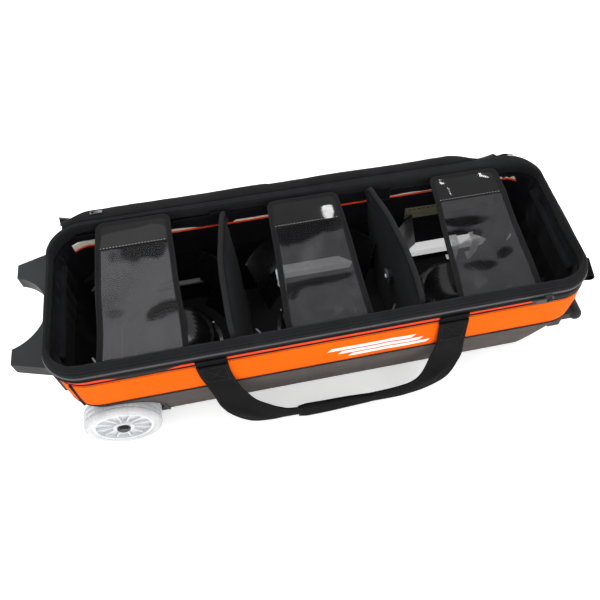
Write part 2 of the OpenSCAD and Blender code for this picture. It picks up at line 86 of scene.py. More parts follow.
def add_camera():
    """Camera at the photograph's angle: azimuth -10.9, elevation 56.7, a small roll."""
    azimuth, elevation, roll = radians(-10.9), radians(56.72), radians(-0.82)
    target = Vector((0.0374, 0.0769, 0.0))
    back = Vector((sin(azimuth) * cos(elevation),
                   -cos(azimuth) * cos(elevation), sin(elevation)))
    side = UP.cross(back).normalized()
    up = back.cross(side)
    x = cos(roll) * side + sin(roll) * up
    y = -sin(roll) * side + cos(roll) * up
    data = bpy.data.cameras.new("camera")
    data.lens, data.sensor_width = 38.47, 36
    data.shift_x, data.shift_y = -0.05, -0.01
    camera = bpy.data.objects.new("camera", data)
    camera.matrix_world = Matrix.Translation(target + back * 1.30006) @ Matrix(
        (x, y, back)).transposed().to_4x4()
    add_to_scene(camera)
    bpy.context.scene.camera = camera


def add_light(name, place, aim, size, power):
    data = bpy.data.lights.new(name, "AREA")
    data.shape, data.size, data.size_y = "RECTANGLE", size[0], size[1]
    data.energy = power
    lamp = bpy.data.objects.new(name, data)
    lamp.location = place
    lamp.rotation_euler = (Vector(aim) - Vector(place)).to_track_quat("-Z", "Y").to_euler()
    add_to_scene(lamp)
    return lamp


def add_studio():
    """Soft white light, four small lamps whose reflections show on the gloss tabs, pale floor."""
    world = bpy.data.worlds.new("studio")
    world.use_nodes = True
    background = world.node_tree.nodes["Background"]
    background.inputs[0].default_value = (1, 1, 1, 1)
    background.inputs[1].default_value = WORLD_LIGHT
    bpy.context.scene.world = world
    bpy.context.scene.view_settings.view_transform = "Standard"
    add_light("key", (-0.7, 0.9, 2.0), (0, 0, 0.1), (1.2, 1.2), 14)
    add_light("fill", (0.7, -2.4, 1.1), (0, 0, 0.1), (2.2, 1.2), 21)
    for name, place, aim, size in (
            ("glint_middle", (0.353, 1.617, 2.011), (0.04, 0.091, 0.252), (0.05, 0.11)),
            ("glint_right_a", (0.924, 1.732, 1.798), (0.241, 0.1, 0.251), (0.055, 0.05)),
            ("glint_right_b", (1.174, 1.705, 1.742), (0.323, 0.1, 0.251), (0.06, 0.045)),
            ("glint_right_c", (0.964, 1.523, 1.964), (0.252, 0.079, 0.252), (0.02, 0.02))):
        lamp = add_light(name, place, aim, size, GLINT_POWER * size[0] * size[1])
        lamp.visible_diffuse = False
    bpy.ops.mesh.primitive_plane_add(size=14, location=(0, 0, -0.0006))
    floor = bpy.context.object
    floor.name = "floor"
    material = bpy.data.materials.new("floor")
    material.use_nodes = True
    shader = material.node_tree.nodes["Principled BSDF"]
    for socket, value in (("Base Color", (0.97, 0.97, 0.97, 1)), ("Roughness", 0.9),
                          ("Emission Color", (1, 1, 1, 1)), ("Emission Strength", FLOOR_GLOW)):
        shader.inputs[socket].default_value = value
    floor.data.materials.append(material)


# ---------------------------------------------------------------- node helpers
class Nodes:
    """Short names for building one material's node tree."""

    def __init__(self, name):
        self.material = bpy.data.materials.new(name)
        self.material.use_nodes = True
        self.tree = self.material.node_tree
        self.shader = self.tree.nodes["Principled BSDF"]

    def add(self, kind, **settings):
        node = self.tree.nodes.new(kind)
        for key, value in settings.items():
            setattr(node, key, value)
        return node

    def link(self, a, b):
        self.tree.links.new(a, b)

    def math(self, operation, a, b=None):
        node = self.add("ShaderNodeMath", operation=operation)
        for socket, value in zip(node.inputs, (a, b)):
            if value is None:
                continue
            if isinstance(value, (int, float)):
                socket.default_value = value
            else:
                self.link(value, socket)
        return node.outputs[0]

    def place(self, attribute=None):
        """Position on the cloth in metres, or in the object where there is no such attribute."""
        if attribute:
            return self.add("ShaderNodeAttribute", attribute_name=attribute).outputs["Vector"]
        return self.add("ShaderNodeTexCoord").outputs["Object"]

    def noise(self, vector, scale, detail=3, rough=0.55):
        node = self.add("ShaderNodeTexNoise")
        self.link(vector, node.inputs["Vector"])
        node.inputs["Scale"].default_value = scale
        node.inputs["Detail"].default_value = detail
        node.inputs["Roughness"].default_value = rough
        return node.outputs["Fac"]

    def total(self, a, b, times=1.0):
        """a + b * times."""
        return self.math("ADD", a, self.math("MULTIPLY", b, times))

    def ramp(self, value, low, high, out_low=0.0, out_high=1.0):
        node = self.add("ShaderNodeMapRange")
        self.link(value, node.inputs[0])
        for socket, number in zip(node.inputs[1:5], (low, high, out_low, out_high)):
            socket.default_value = number
        return node.outputs[0]

    def mix(self, factor, a, b):
        """Colour from a to b as factor goes from 0 to 1; a and b are colours or sockets."""
        node = self.add("ShaderNodeMix", data_type="RGBA")
        self.link(factor, node.inputs[0])
        for socket, value in zip((node.inputs[6], node.inputs[7]), (a, b)):
            if isinstance(value, tuple):
                socket.default_value = (*value, 1)
            else:
                self.link(value, socket)
        return node.outputs[2]

    def bump(self, height, distance):
        node = self.add("ShaderNodeBump")
        node.inputs["Strength"].default_value = 1.0
        node.inputs["Distance"].default_value = distance
        self.link(height, node.inputs["Height"])
        return node.outputs[0]

    def set(self, **values):
        for key, value in values.items():
            socket = self.shader.inputs[key.replace("_", " ")]
            if isinstance(value, (int, float, tuple)):
                socket.default_value = (*value, 1) if isinstance(value, tuple) else value
            else:
                self.link(value, socket)


def shade(colour, times, more=0.0):
    """Colour made darker or paler."""
    return tuple(min(c * times + more, 1) for c in colour)


def waves_of(n, vector, pitch, across_pitch):
    """Sines of the two directions of a cloth, for threads that far apart."""
    parts = n.add("ShaderNodeSeparateXYZ")
    n.link(vector, parts.inputs[0])
    return [n.math("SINE", n.math("MULTIPLY", parts.outputs[i], pi / size))
            for i, size in enumerate((pitch, across_pitch))]


def weave(n, vector, pitch):
    """Height of a plain weave: threads over and under each other, pitch apart."""
    across, along = waves_of(n, vector, pitch, pitch)
    cell = n.math("GREATER_THAN", n.math("MULTIPLY", across, along), 0.0)
    over, under = n.math("ABSOLUTE", across), n.math("ABSOLUTE", along)
    return n.math("ADD", n.math("MULTIPLY", over, cell),
                  n.math("MULTIPLY", under, n.math("SUBTRACT", 1.0, cell)))


def cloth(name, colour, light=1.5, pitch=1.1 * MM, depth=0.25 * MM, rough=0.8):
    """Woven cloth: thread relief, thread tops painted lighter and hollows darker as painted shade, soft
    colour changes and dusty wear.
    """
    n = Nodes(name)
    height = weave(n, n.place("cloth"), pitch)
    space = n.place()
    patches = n.noise(space, 22, 4)
    fine = n.noise(space, 900, 2)
    # Painted shade: darker colour in the weave's hollows, full colour on the thread tops.
    base = n.mix(n.ramp(height, 0.1, 0.95), shade(colour, 0.55), colour)
    base = n.mix(n.ramp(patches, 0.45, 0.8, 0, 0.48), base, shade(colour, light, 0.002))
    n.set(Base_Color=base, Roughness=n.ramp(fine, 0.2, 0.8, rough - 0.08, rough + 0.1))
    n.set(Sheen_Weight=0.03, Sheen_Roughness=0.5, Specular_IOR_Level=0.1)
    n.set(Normal=n.bump(n.total(height, fine, 0.5), depth))
    return n.material


def nap(name, colour):
    """Brushed lining: short fibres, streaks where it has been stroked."""
    n = Nodes(name)
    space = n.place()
    fibres = n.noise(space, 1400, 3, 0.7)
    strokes = n.noise(space, 16, 5, 0.6)
    pale = shade(colour, 1.8, 0.001)
    n.set(Base_Color=n.mix(n.ramp(strokes, 0.42, 0.75), colour, pale), Roughness=0.95)
    n.set(Sheen_Weight=0.04, Sheen_Roughness=0.4, Specular_IOR_Level=0.08)
    n.set(Normal=n.bump(n.total(fibres, strokes, 2.0), 0.3 * MM))
    return n.material


def plastic(name, colour, rough, grain, scale, scuff=0.15, coat=0.0, shine=0.3):
    """Moulded plastic: spark-eroded grain of a depth in mm, faint flow marks and scuffs."""
    n = Nodes(name)
    space = n.place()
    texture = n.noise(space, scale, 2)
    flow = n.noise(space, 14, 4)
    scratches = n.noise(space, 160, 6, 0.75)
    base = n.mix(n.ramp(scratches, 0.6, 0.85, 0, scuff), colour, shade(colour, 1, 0.03))
    n.set(Base_Color=base, Roughness=n.ramp(flow, 0.3, 0.7, rough - 0.07, rough + 0.1))
    n.set(Coat_Weight=coat, Coat_Roughness=0.04, Specular_IOR_Level=shine)
    n.set(Normal=n.bump(texture, grain * MM))
    return n.material


def metal(name, colour, rough, metallic=1.0, painted_glow=0.0):
    """Drawn or plated metal with fine streaks along X; the last argument is a painted glow, an emission that
    lifts it in deep shade though it is no lamp.
    """
    n = Nodes(name)
    mapping = n.add("ShaderNodeMapping")
    mapping.inputs["Scale"].default_value = (0.04, 1, 1)
    n.link(n.place(), mapping.inputs["Vector"])
    lines = n.noise(mapping.outputs[0], 1600, 3)
    spots = n.noise(n.place(), 90, 4)
    base = n.mix(n.ramp(spots, 0.35, 0.7), shade(colour, 0.72), colour)
    n.set(Base_Color=base, Metallic=metallic)
    n.set(Roughness=n.ramp(lines, 0.3, 0.7, rough, rough + 0.15))
    n.set(Normal=n.bump(lines, 0.02 * MM), Emission_Color=(1, 1, 1), Emission_Strength=painted_glow)
    return n.material


# ---------------------------------------------------------------- mesh helpers
def add_mesh(name, points, faces, material, body, smooth=True, coords=None):
    """Mesh object that rides on a body, if one is named. coords gives each face corner its place
    on the cloth."""
    mesh = bpy.data.meshes.new(name)
    mesh.from_pydata([tuple(p) for p in points], [], faces)
    mesh.update()
    if coords is not None:
        layer = mesh.attributes.new("cloth", "FLOAT_VECTOR", "CORNER")
        flat = [c for corner in coords for c in (corner[0], corner[1], 0.0)]
        layer.data.foreach_set("vector", flat)
    obj = bpy.data.objects.new(name, mesh)
    add_to_scene(obj)
    obj.data.materials.append(material)
    for polygon in mesh.polygons:
        polygon.use_smooth = smooth
    if body:
        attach(obj, body)
    return obj


def skin(name, rings, material, body, closed_u=True, closed_v=False, cap=False):
    """Quads between rings of points. rings[j][i]: j runs across, i along. Places on the cloth are
    the running lengths along the middle ring and down the first column."""
    rows, cols = len(rings), len(rings[0])
    u = [0.0]
    middle = rings[rows // 2]
    for i in range(cols):
        u.append(u[-1] + (middle[(i + 1) % cols] - middle[i]).length)
    v = [0.0]
    for j in range(rows):
        v.append(v[-1] + (rings[(j + 1) % rows][0] - rings[j][0]).length)
    points = [p for ring in rings for p in ring]
    faces, coords = [], []
    for j in range(rows if closed_v else rows - 1):
        for i in range(cols if closed_u else cols - 1):
            k, m = (j + 1) % rows, (i + 1) % cols
            faces.append((j * cols + i, j * cols + m, k * cols + m, k * cols + i))
            coords += [(u[i], v[j]), (u[i + 1], v[j]), (u[i + 1], v[j + 1]), (u[i], v[j + 1])]
    if cap:
        last = (rows - 1) * cols
        faces += [tuple(reversed(range(cols))), tuple(range(last, last + cols))]
        coords += [(0, 0)] * cols * 2
    return add_mesh(name, points, faces, material, body, coords=coords)


def ripple(x, y, z):
    """Smooth noise from -1 to 1."""
    return noise.noise(Vector((x, y, z)))


def wobble(point, scale, size, seed=0.0):
    """Smooth noise from -size to size that depends on the place only."""
    return noise.noise(Vector(point) * scale + Vector((seed, seed * 1.7, 3.1))) * size


def smooth_step(x):
    """Eased step from 0 to 1 as x goes from 0 to 1."""
    x = min(max(x, 0.0), 1.0)
    return x * x * (3 - 2 * x)


def share_of(value, low, high):
    """Share of the way from low to high, kept between 0 and 1."""
    return min(max((value - low) / (high - low), 0.0), 1.0)


def rounding(k):
    """Drop of a quarter circle of radius 1 at the share k of its run."""
    return 1 - sqrt(max(1 - min(k, 1) ** 2, 0))


def steps(low, high, count):
    return [low + (high - low) * i / count for i in range(count + 1)]


def ease_steps(low, high, count):
    """Like steps, but closer together towards both ends."""
    middle, half = (low + high) / 2, (high - low) / 2
    return [middle + half * sin(pi / 2 * (-1 + 2 * i / count)) for i in range(count + 1)]


def outline(z, off=0.0, long_steps=84, end_steps=22, corner_steps=10):
    """Points and outward normals round the body at height z, moved out by off. The mouth of the
    bag spreads a little at the left end."""
    k = share_of(-z, -SEAM_LOW, -BASE_Z)
    spread = 5 * MM * smooth_step((z - 216 * MM) / (12 * MM))
    x0 = -HALF_L - spread + (tray_lo.x + HALF_L) * k
    x1 = HALF_L + (tray_hi.x - HALF_L) * k
    y1 = HALF_W + (tray_hi.y - HALF_W) * k
    r = CORNER_R - 8 * MM * k
    loop = []
    corners = ((x1 - r, y1 - r, 0), (x0 + r, y1 - r, 90), (x0 + r, r - y1, 180), (x1 - r, r - y1, 270))
    for n, (cx, cy, start) in enumerate(corners):
        for i in range(corner_steps + 1):
            a = radians(start + 90 * i / corner_steps)
            normal = Vector((cos(a), sin(a), 0))
            loop.append((Vector((cx, cy, z)) + normal * (r + off), normal))
        nx, ny, next_start = corners[(n + 1) % 4]
        a = radians(next_start)
        normal = Vector((cos(a), sin(a), 0))
        end = Vector((nx, ny, z)) + normal * (r + off)
        begin = loop[-1][0]
        count = long_steps if n % 2 == 0 else end_steps
        loop += [(begin.lerp(end, i / count), normal) for i in range(1, count)]
    return loop


def swept(name, profile, material, move=None):
    """Closed band round the body. profile is a closed list of (offset, height)."""
    rings = []
    for k, (off, z) in enumerate(profile):
        ring = []
        for point, normal in outline(z):
            place = point + normal * (off(point, normal) if callable(off) else off)
            ring.append(place + (move(place, normal, k) if move else Vector()))
        rings.append(ring)
    return skin(name, rings, material, "shell", closed_v=True)


def panel_wave(p, z0, z1, depth, wrinkle):
    """How far a padded panel stands out at p between two seams at z0 and z1."""
    t = share_of(p.z, z0, z1)
    crown = 4 * t * (1 - t)
    folds = ripple(p.x * 26, p.y * 26, p.z * 9) * wrinkle
    fine = ripple(p.x * 90, p.y * 90, p.z * 60) * wrinkle * 0.25
    return depth * crown + (folds + fine) * (0.25 + 0.75 * crown)


def panel_face(z0, z1, count, depth, wrinkle, base=0.0):
    """Outer face of a padded panel, as part of a profile for swept."""
    return [(lambda p, n: base + panel_wave(p, z0, z1, depth, wrinkle), z) for z in steps(z0, z1, count)]


def close_ends(obj, turn_out=True):
    """Fills the open ends of a piece and turns its faces outwards."""
    mesh = bmesh.new()
    mesh.from_mesh(obj.data)
    bmesh.ops.holes_fill(mesh, edges=[e for e in mesh.edges if e.is_boundary])
    if turn_out:
        bmesh.ops.recalc_face_normals(mesh, faces=mesh.faces)
    mesh.to_mesh(obj.data)
    mesh.free()


def strip_of(name, columns, material, body, turn_out=True):
    """Solid strip: columns run along it, side by side round its section, and its ends are closed."""
    obj = skin(name, columns, material, body, closed_u=False, closed_v=True)
    close_ends(obj, turn_out)
    return obj


def cord(name, path, radius, material, body, closed=True, squash=1.0):
    """Round or flattened cord along a path of (point, normal)."""
    sides = 10
    rings = []
    count = len(path)
    for i, (point, normal) in enumerate(path):
        before = path[(i - 1) % count][0] if closed or i else point
        after = path[(i + 1) % count][0] if closed or i < count - 1 else point
        tangent = (after - before).normalized()
        across = tangent.cross(normal).normalized()
        rings.append([point + (cos(a) * normal + sin(a) * across * squash) * radius
                      for a in (2 * pi * s / sides for s in range(sides))])
    if closed:
        return skin(name, list(zip(*rings)), material, body, closed_v=True)
    return strip_of(name, list(zip(*rings)), material, body, turn_out=False)


def ribbon(name, line, material, body, width, thick):
    """Flat band with rounded edges along a list of (point, across, up)."""
    section = [(-1, 0.0), (-0.93, 0.75), (-0.6, 1), (0.6, 1), (0.93, 0.75), (1, 0.0), (0.93, -0.75),
               (0.6, -1), (-0.6, -1), (-0.93, -0.75)]
    return strip_of(name, [[p + across * (a * width / 2) + up * (b * thick / 2) for p, across, up in line]
                           for a, b in section], material, body)


def blocks(name, parts, material, body, smooth=True):
    """One piece made of many small closed blocks, each a list of rings of four points."""
    points, faces = [], []
    for part in parts:
        first = len(points)
        last = first + len(part) - 4
        for start in range(first, last, 4):
            for c, d in ((0, 1), (1, 2), (2, 3), (3, 0)):
                faces.append((start + c, start + d, start + 4 + d, start + 4 + c))
        faces += [(first + 3, first + 2, first + 1, first), (last, last + 1, last + 2, last + 3)]
        points += part
    return add_mesh(name, points, faces, material, body, smooth=smooth)


def box_points(lo, hi):
    """A box as two rings of four points, for blocks."""
    corners = ((lo[0], lo[1]), (hi[0], lo[1]), (hi[0], hi[1]), (lo[0], hi[1]))
    return [Vector((x, y, z)) for z in (lo[2], hi[2]) for x, y in corners]


def pitched(path, pitch):
    """Places pitch apart along a path of (point, normal), as (centre, tangent, normal, across)."""
    carry = 0.0
    for (a, na), (b, nb) in zip(path, path[1:]):
        step = (b - a).length
        if step < 1e-7:
            continue
        tangent = (b - a) / step
        while carry < step:
            t = carry / step
            normal = na.lerp(nb, t).normalized()
            yield a.lerp(b, t), tangent, normal, tangent.cross(normal).normalized()
            carry += pitch
        carry -= step


# Pitch, length and width of the finer stitches
FINE_STITCH = (3.6 * MM, 2.4 * MM, 0.6 * MM)
TAPE_STITCH = (3.4 * MM, 2.2 * MM, 0.7 * MM)
BOX_STITCH = (3.4 * MM, 2.4 * MM, 0.9 * MM)
LONG_STITCH = (4.2 * MM, 2.8 * MM, 0.7 * MM)


def stitches(name, path, material, body, pitch=4.2 * MM, length=2.8 * MM, width=0.9 * MM):
    """A row of stitches, each a small rounded bar, along a path of (point, normal)."""
    parts = []
    for centre, tangent, normal, across in pitched(path, pitch):
        bar = []
        for s, lift, wide in ((-1, 0.0, 0.6), (-0.6, 0.5, 1), (0.6, 0.5, 1), (1, 0.0, 0.6)):
            middle = centre + tangent * (s * length / 2)
            side = across * (width / 2 * wide)
            bar += [middle + side, middle + normal * (width * lift + 0.1 * MM),
                    middle - side, middle - normal * (width * 0.3)]
        parts.append(bar)
    return blocks(name, parts, material, body)


def teeth(name, path, material, body):
    """Zipper teeth, each a small rounded block, along a path of (point, normal)."""
    pitch, wide, deep, tall = 2.6 * MM, 1.5 * MM, 2.2 * MM, 3.4 * MM
    parts = []
    for centre, tangent, normal, up in pitched(path, pitch):
        parts.append([centre + tangent * (sx * wide / 2 * share) + normal * depth
                      + up * (sz * tall / 2 * share)
                      for share, depth in ((1.0, -deep / 2), (1.0, deep * 0.25), (0.55, deep / 2))
                      for sx, sz in ((-1, -1), (1, -1), (1, 1), (-1, 1))])
    return blocks(name, parts, material, body, smooth=False)


def stand_for(obj, node=None, slot=None):
    """Hides the CAD node that a piece replaces; the piece and slot arguments are not used."""
    if node:
        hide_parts(node)


def modify(obj, kind, **settings):
    modifier = obj.modifiers.new(kind.lower(), kind)
    for key, value in settings.items():
        setattr(modifier, key, value)


def apply_modifiers(obj):
    """Bakes the modifiers of a piece into its mesh."""
    graph = bpy.context.evaluated_depsgraph_get()
    mesh = bpy.data.meshes.new_from_object(obj.evaluated_get(graph))
    obj.modifiers.clear()
    obj.data = mesh


def lathe(name, profile, centre, axis, material, body, count):
    """Turned piece. profile is a list of (radius, distance along the axis) in mm."""
    turn = Vector(axis).to_track_quat("Z", "Y").to_matrix()
    rings = [[centre + turn @ Vector((r * cos(a), r * sin(a), d)) * MM
              for a in (2 * pi * i / count for i in range(count))] for r, d in profile]
    return skin(name, rings, material, body, cap=True)


def well_cutter():
    """Solid of both wheel wells, to cut the walls with."""
    lo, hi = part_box("tyre_near")
    x, z = (lo.x + hi.x) / 2, (lo.z + hi.z) / 2
    radius, depth, behind, through = 70 * MM, 109 * MM, 120 * MM, 60 * MM
    section = [(x + radius * cos(a), z + radius * sin(a))
               for a in (radians(90 - 180 * i / 24) for i in range(25))]
    section += [(x - behind, z - radius), (x - behind, z + radius)]
    cutter = bmesh.new()
    for side in (-1, 1):
        near, far = ([cutter.verts.new((px, side * y, pz)) for px, pz in section]
                     for y in (depth, depth + through))
        cutter.faces.new(near)
        cutter.faces.new(far[::-1])
        for i in range(len(section)):
            cutter.faces.new((near[i - 1], near[i], far[i], far[i - 1]))
    bmesh.ops.recalc_face_normals(cutter, faces=cutter.faces)
    mesh = bpy.data.meshes.new("well_cutter")
    cutter.to_mesh(mesh)
    cutter.free()
    obj = bpy.data.objects.new("well_cutter", mesh)
    add_to_scene(obj)
    return obj


def cut(obj, cutter):
    modify(obj, "BOOLEAN", operation="DIFFERENCE", object=cutter, solver="EXACT")
    apply_modifiers(obj)


def finish_cad(material, *names, bevel=0.0):
    """Gives CAD nodes that stay visible their finished material, soft shading and eased edges."""
    for name in names:
        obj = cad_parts[name]
        obj.data.materials.clear()
        obj.data.materials.append(material)
        for polygon in obj.data.polygons:
            polygon.use_smooth = True
            polygon.material_index = 0
        if bevel:
            modify(obj, "BEVEL", width=bevel, segments=3, limit_method="ANGLE",
                   angle_limit=radians(40))
        modify(obj, "EDGE_SPLIT", split_angle=radians(32))


# ---------------------------------------------------------------- materials
def make_materials():
    """All materials by short name. cloth: colour, pale share, pitch, depth, roughness. plastic:
    colour, roughness, grain depth and scale, scuffs, coat, shine. metal: colour, roughness,
    metallic, painted glow (emission standing for light)."""
    m = {"orange": orange_cloth()}
    for key, name, colour, light, pitch, depth, rough in (
            ("grey", "grey_cloth", (0.066, 0.053, 0.047), 1.5, 0.9, 0.18, 0.7),
            ("cord", "black_cord", (0.008, 0.008, 0.009), 1.8, 0.8, 0.2, 0.75),
            # red_strip is a darker, redder copy of the orange cloth: painted shade for orange that sits in
            # shade.
            ("orange_painted_shade", "red_strip", (0.86, 0.06, 0.008), 1.2, 0.9, 0.15, 0.7),
            ("tape", "zipper_cloth", (0.0095, 0.0095, 0.0105), 1.7, 0.7, 0.15, 0.8),
            ("rim", "rim_cloth", (0.0098, 0.0101, 0.0112), 1.8, 1.3, 0.3, 0.8),
            # divider_top_painted_light is paler than the divider cloth: painted light on the divider tops.
            ("edge", "divider_top_painted_light", (0.0165, 0.0168, 0.018), 1.6, 0.8, 0.2, 0.75),
            ("binding", "strap_binding", (0.0085, 0.0087, 0.0095), 1.6, 0.8, 0.2, 0.8),
            ("lid", "lid_cloth", (0.0115, 0.0115, 0.0125), 1.8, 1.2, 0.25, 0.8)):
        m[key] = cloth(name, colour, light, pitch * MM, depth * MM, rough)
    m["lining"] = nap("lining_cloth", (0.003, 0.003, 0.0042))
    m["divider"] = nap("divider_cloth", (0.0052, 0.0058, 0.0075))
    for key, name, colour, *rest in (
            ("floor", "floor_board", (0.014, 0.014, 0.015), 0.7, 0.15, 700, 0.1, 0, 0.12),
            ("olive", "perforated_board", (0.17, 0.155, 0.095), 0.6, 0.08, 900, 0.5, 0, 0.2),
            ("gloss", "gloss_plastic", (0.005, 0.005, 0.006), 0.2, 0.01, 500, 0.05, 0.35),
            ("guard", "guard_plastic", (0.006, 0.006, 0.007), 0.25, 0.01, 500, 0.05, 0.2, 0.4),
            ("boss", "boss_plastic", (0.05, 0.052, 0.055), 0.35, 0.02, 900, 0.1, 0.2),
            ("black", "black_plastic", (0.013, 0.0135, 0.015), 0.5, 0.08, 1500, 0.12, 0, 0.2),
            ("cap", "hub_cap", (0.013, 0.013, 0.015), 0.4, 0.04, 1200),
            ("button", "button_plastic", (0.26, 0.26, 0.27), 0.45, 0.05, 1500),
            # zipper_coil is partly the teeth's own grey and partly a painted highlight of their gloss.
            ("coil", "zipper_coil", (0.13, 0.13, 0.135), 0.4, 0.02, 2500, 0.1, 0, 0.25),
            ("tab", "strap_tab", (0.0055, 0.0056, 0.0064), 0.5, 0.02, 900, 0.03, 0.13, 0.08),
            ("pale_thread", "pale_thread", (0.42, 0.42, 0.43), 0.7, 0.05, 3000),
            ("thread", "thread", (0.028, 0.028, 0.031), 0.7, 0.05, 3000, 0.1, 0, 0.15)):
        m[key] = plastic(name, colour, *rest)
    for key, name, colour, *rest in (
            ("steel", "steel", (0.5, 0.5, 0.52), 0.3),
            ("tube", "aluminium_tube", (0.42, 0.43, 0.45), 0.35, 0.5),
            # The rail tubes and bright steel get a painted glow: emission that stands for light they would
            # catch.
            ("rail", "rail_tube", (0.93, 0.94, 0.95), 0.35, 0.1, 0.44),
            ("bright", "bright_steel", (0.9, 0.91, 0.93), 0.25, 0.3, 0.2),
            ("zip", "zipper_metal", (0.035, 0.035, 0.037), 0.35, 0.6),
            ("pull", "pull_metal", (0.17, 0.17, 0.175), 0.3)):
        m[key] = metal(name, colour, *rest)
    m["cream"] = cream_board()
    m["webbing"] = webbing()
    m["tyre"] = cast_plastic("clear_tyre", 45, (420, 5, 0.7), (0.86, 0.87, 0.88), (0.74, 0.75, 0.77),
                             (0.35, 0.7, 0.12, 0.34), 0.45, 1.42, 0.05 * MM)
    m["hub"] = cast_plastic("clear_hub", 60, (900, 3), (0.8, 0.81, 0.82), (0.68, 0.7, 0.72),
                            (0.3, 0.7, 0.25, 0.4), 0.2, 1.45, 0.04 * MM)
    m["vinyl"] = clear_vinyl()
    m["print"] = printed_white()
    return m


def orange_cloth():
    """Bright ballistic weave with paler thread tops and darker hollows: painted light and shade of the weave.
    """
    n = Nodes("orange_cloth")
    height = weave(n, n.place("cloth"), 1.9 * MM)
    fine = n.noise(n.place(), 1100, 2)
    patches = n.noise(n.place(), 9, 3)
    # Painted shade: darker orange in the weave's hollows, paler on the thread tops.
    base = n.mix(n.ramp(height, 0.05, 0.75), (0.7, 0.062, 0.0), (0.97, 0.132, 0.0))
    base = n.mix(n.ramp(patches, 0.45, 0.7, 0, 0.3), base, (0.98, 0.16, 0.002))
    n.set(Base_Color=base, Roughness=n.ramp(fine, 0.2, 0.8, 0.55, 0.75))
    n.set(Specular_IOR_Level=0.04)
    n.set(Normal=n.bump(n.total(height, fine, 0.3), 0.35 * MM))
    return n.material


def cream_board():
    n = Nodes("cream_board")
    space = n.place()
    grain = n.noise(space, 420, 4, 0.65)
    marks = n.noise(space, 30, 5, 0.7)
    base = n.mix(n.ramp(grain, 0.35, 0.7), (0.66, 0.6, 0.5), (0.86, 0.82, 0.74))
    base = n.mix(n.ramp(marks, 0.6, 0.8, 0, 0.5), base, (0.32, 0.27, 0.19))
    n.set(Base_Color=base, Roughness=n.ramp(marks, 0.3, 0.7, 0.5, 0.7))
    n.set(Normal=n.bump(grain, 0.1 * MM))
    return n.material


def webbing():
    """Ribbed webbing: ribs along the length and fine picks across; rib tops painted paler and grooves darker
    as painted shade.
    """
    n = Nodes("webbing")
    picks, ribs = (n.math("ABSOLUTE", wave) for wave in waves_of(n, n.place("cloth"), 1.1 * MM, 2.2 * MM))
    height = n.total(ribs, picks, 0.5)
    fuzz = n.noise(n.place(), 1300, 3, 0.7)
    wear = n.noise(n.place(), 18, 4)
    # Painted shade: darker in the grooves between ribs and picks, paler on their tops.
    base = n.mix(n.ramp(height, 0.2, 1.4), (0.0012, 0.0012, 0.0015), (0.0036, 0.0037, 0.0042))
    base = n.mix(n.ramp(wear, 0.45, 0.8, 0, 0.4), base, (0.005, 0.0051, 0.0058))
    n.set(Base_Color=base, Roughness=n.ramp(fuzz, 0.2, 0.8, 0.6, 0.8))
    n.set(Sheen_Weight=0.01, Specular_IOR_Level=0.05)
    n.set(Normal=n.bump(n.total(height, fuzz, 0.6), 0.3 * MM))
    return n.material


def cast_plastic(name, cloud_scale, grain, pale, dark, rough, through, ior, relief):
    """Clear or milky cast plastic: light passes through, with faint clouds and small scuffs."""
    n = Nodes(name)
    cloud = n.noise(n.place(), cloud_scale, 4)
    scuff = n.noise(n.place(), *grain)
    n.set(Base_Color=n.mix(n.ramp(cloud, 0.3, 0.7), pale, dark))
    n.set(Roughness=n.ramp(scuff, *rough), Transmission_Weight=through, IOR=ior)
    n.set(Normal=n.bump(scuff, relief))
    return n.material


def clear_vinyl():
    """Clear sheet with a milky skin: where the clear attribute is high the sheet is less milky and darker,
    patches that stand for dark reflections (painted reflection).
    """
    n = Nodes("clear_vinyl")
    ripple = n.noise(n.place(), 17, 3, 0.5)
    haze = n.noise(n.place(), 40, 4, 0.6)
    clear = n.add("ShaderNodeAttribute", attribute_name="clear").outputs["Fac"]
    milky = n.mix(n.ramp(haze, 0.35, 0.7), (0.03, 0.03, 0.034), (0.042, 0.0425, 0.047))
    # Painted reflection: the clear patches take a darker colour as well as a lower alpha.
    n.set(Base_Color=n.mix(clear, milky, (0.01, 0.01, 0.011)))
    n.set(Roughness=n.ramp(haze, 0.4, 0.8, 0.16, 0.26), IOR=1.45, Specular_IOR_Level=0.3)
    n.set(Alpha=n.ramp(clear, 0.0, 1.0, 0.59, 0.14))
    n.set(Normal=n.bump(ripple, 1.2 * MM))
    return n.material


def printed_white():
    n = Nodes("printed_white")
    height = weave(n, n.place("cloth"), 1.9 * MM)
    wear = n.noise(n.place(), 300, 4, 0.7)
    base = n.mix(n.ramp(wear, 0.55, 0.8, 0, 0.6), (0.86, 0.86, 0.86), (0.7, 0.62, 0.55))
    n.set(Base_Color=base, Roughness=n.ramp(wear, 0.3, 0.7, 0.5, 0.65))
    n.set(Normal=n.bump(height, 0.15 * MM))
    return n.material


# ---------------------------------------------------------------- body of the bag
def pillow(name, stations, half_width, thickness, place, material, body, across=26):
    """Closed soft slab. At each station u it spans v from -half_width(u) to half_width(u), and
    thickness(u, share) gives how far its front and back stand off the middle surface."""
    rings = []
    shares = [sin(pi / 2 * (-1 + 2 * k / across)) for k in range(across + 1)]
    for u in stations:
        w = half_width(u)
        front = [place(u, s * w, thickness(u, s)[0]) for s in shares]
        back = [place(u, s * w, -thickness(u, s)[1]) for s in reversed(shares)]
        rings.append([Vector(p) for p in front + back])
    return skin(name, rings, material, body, cap=True)


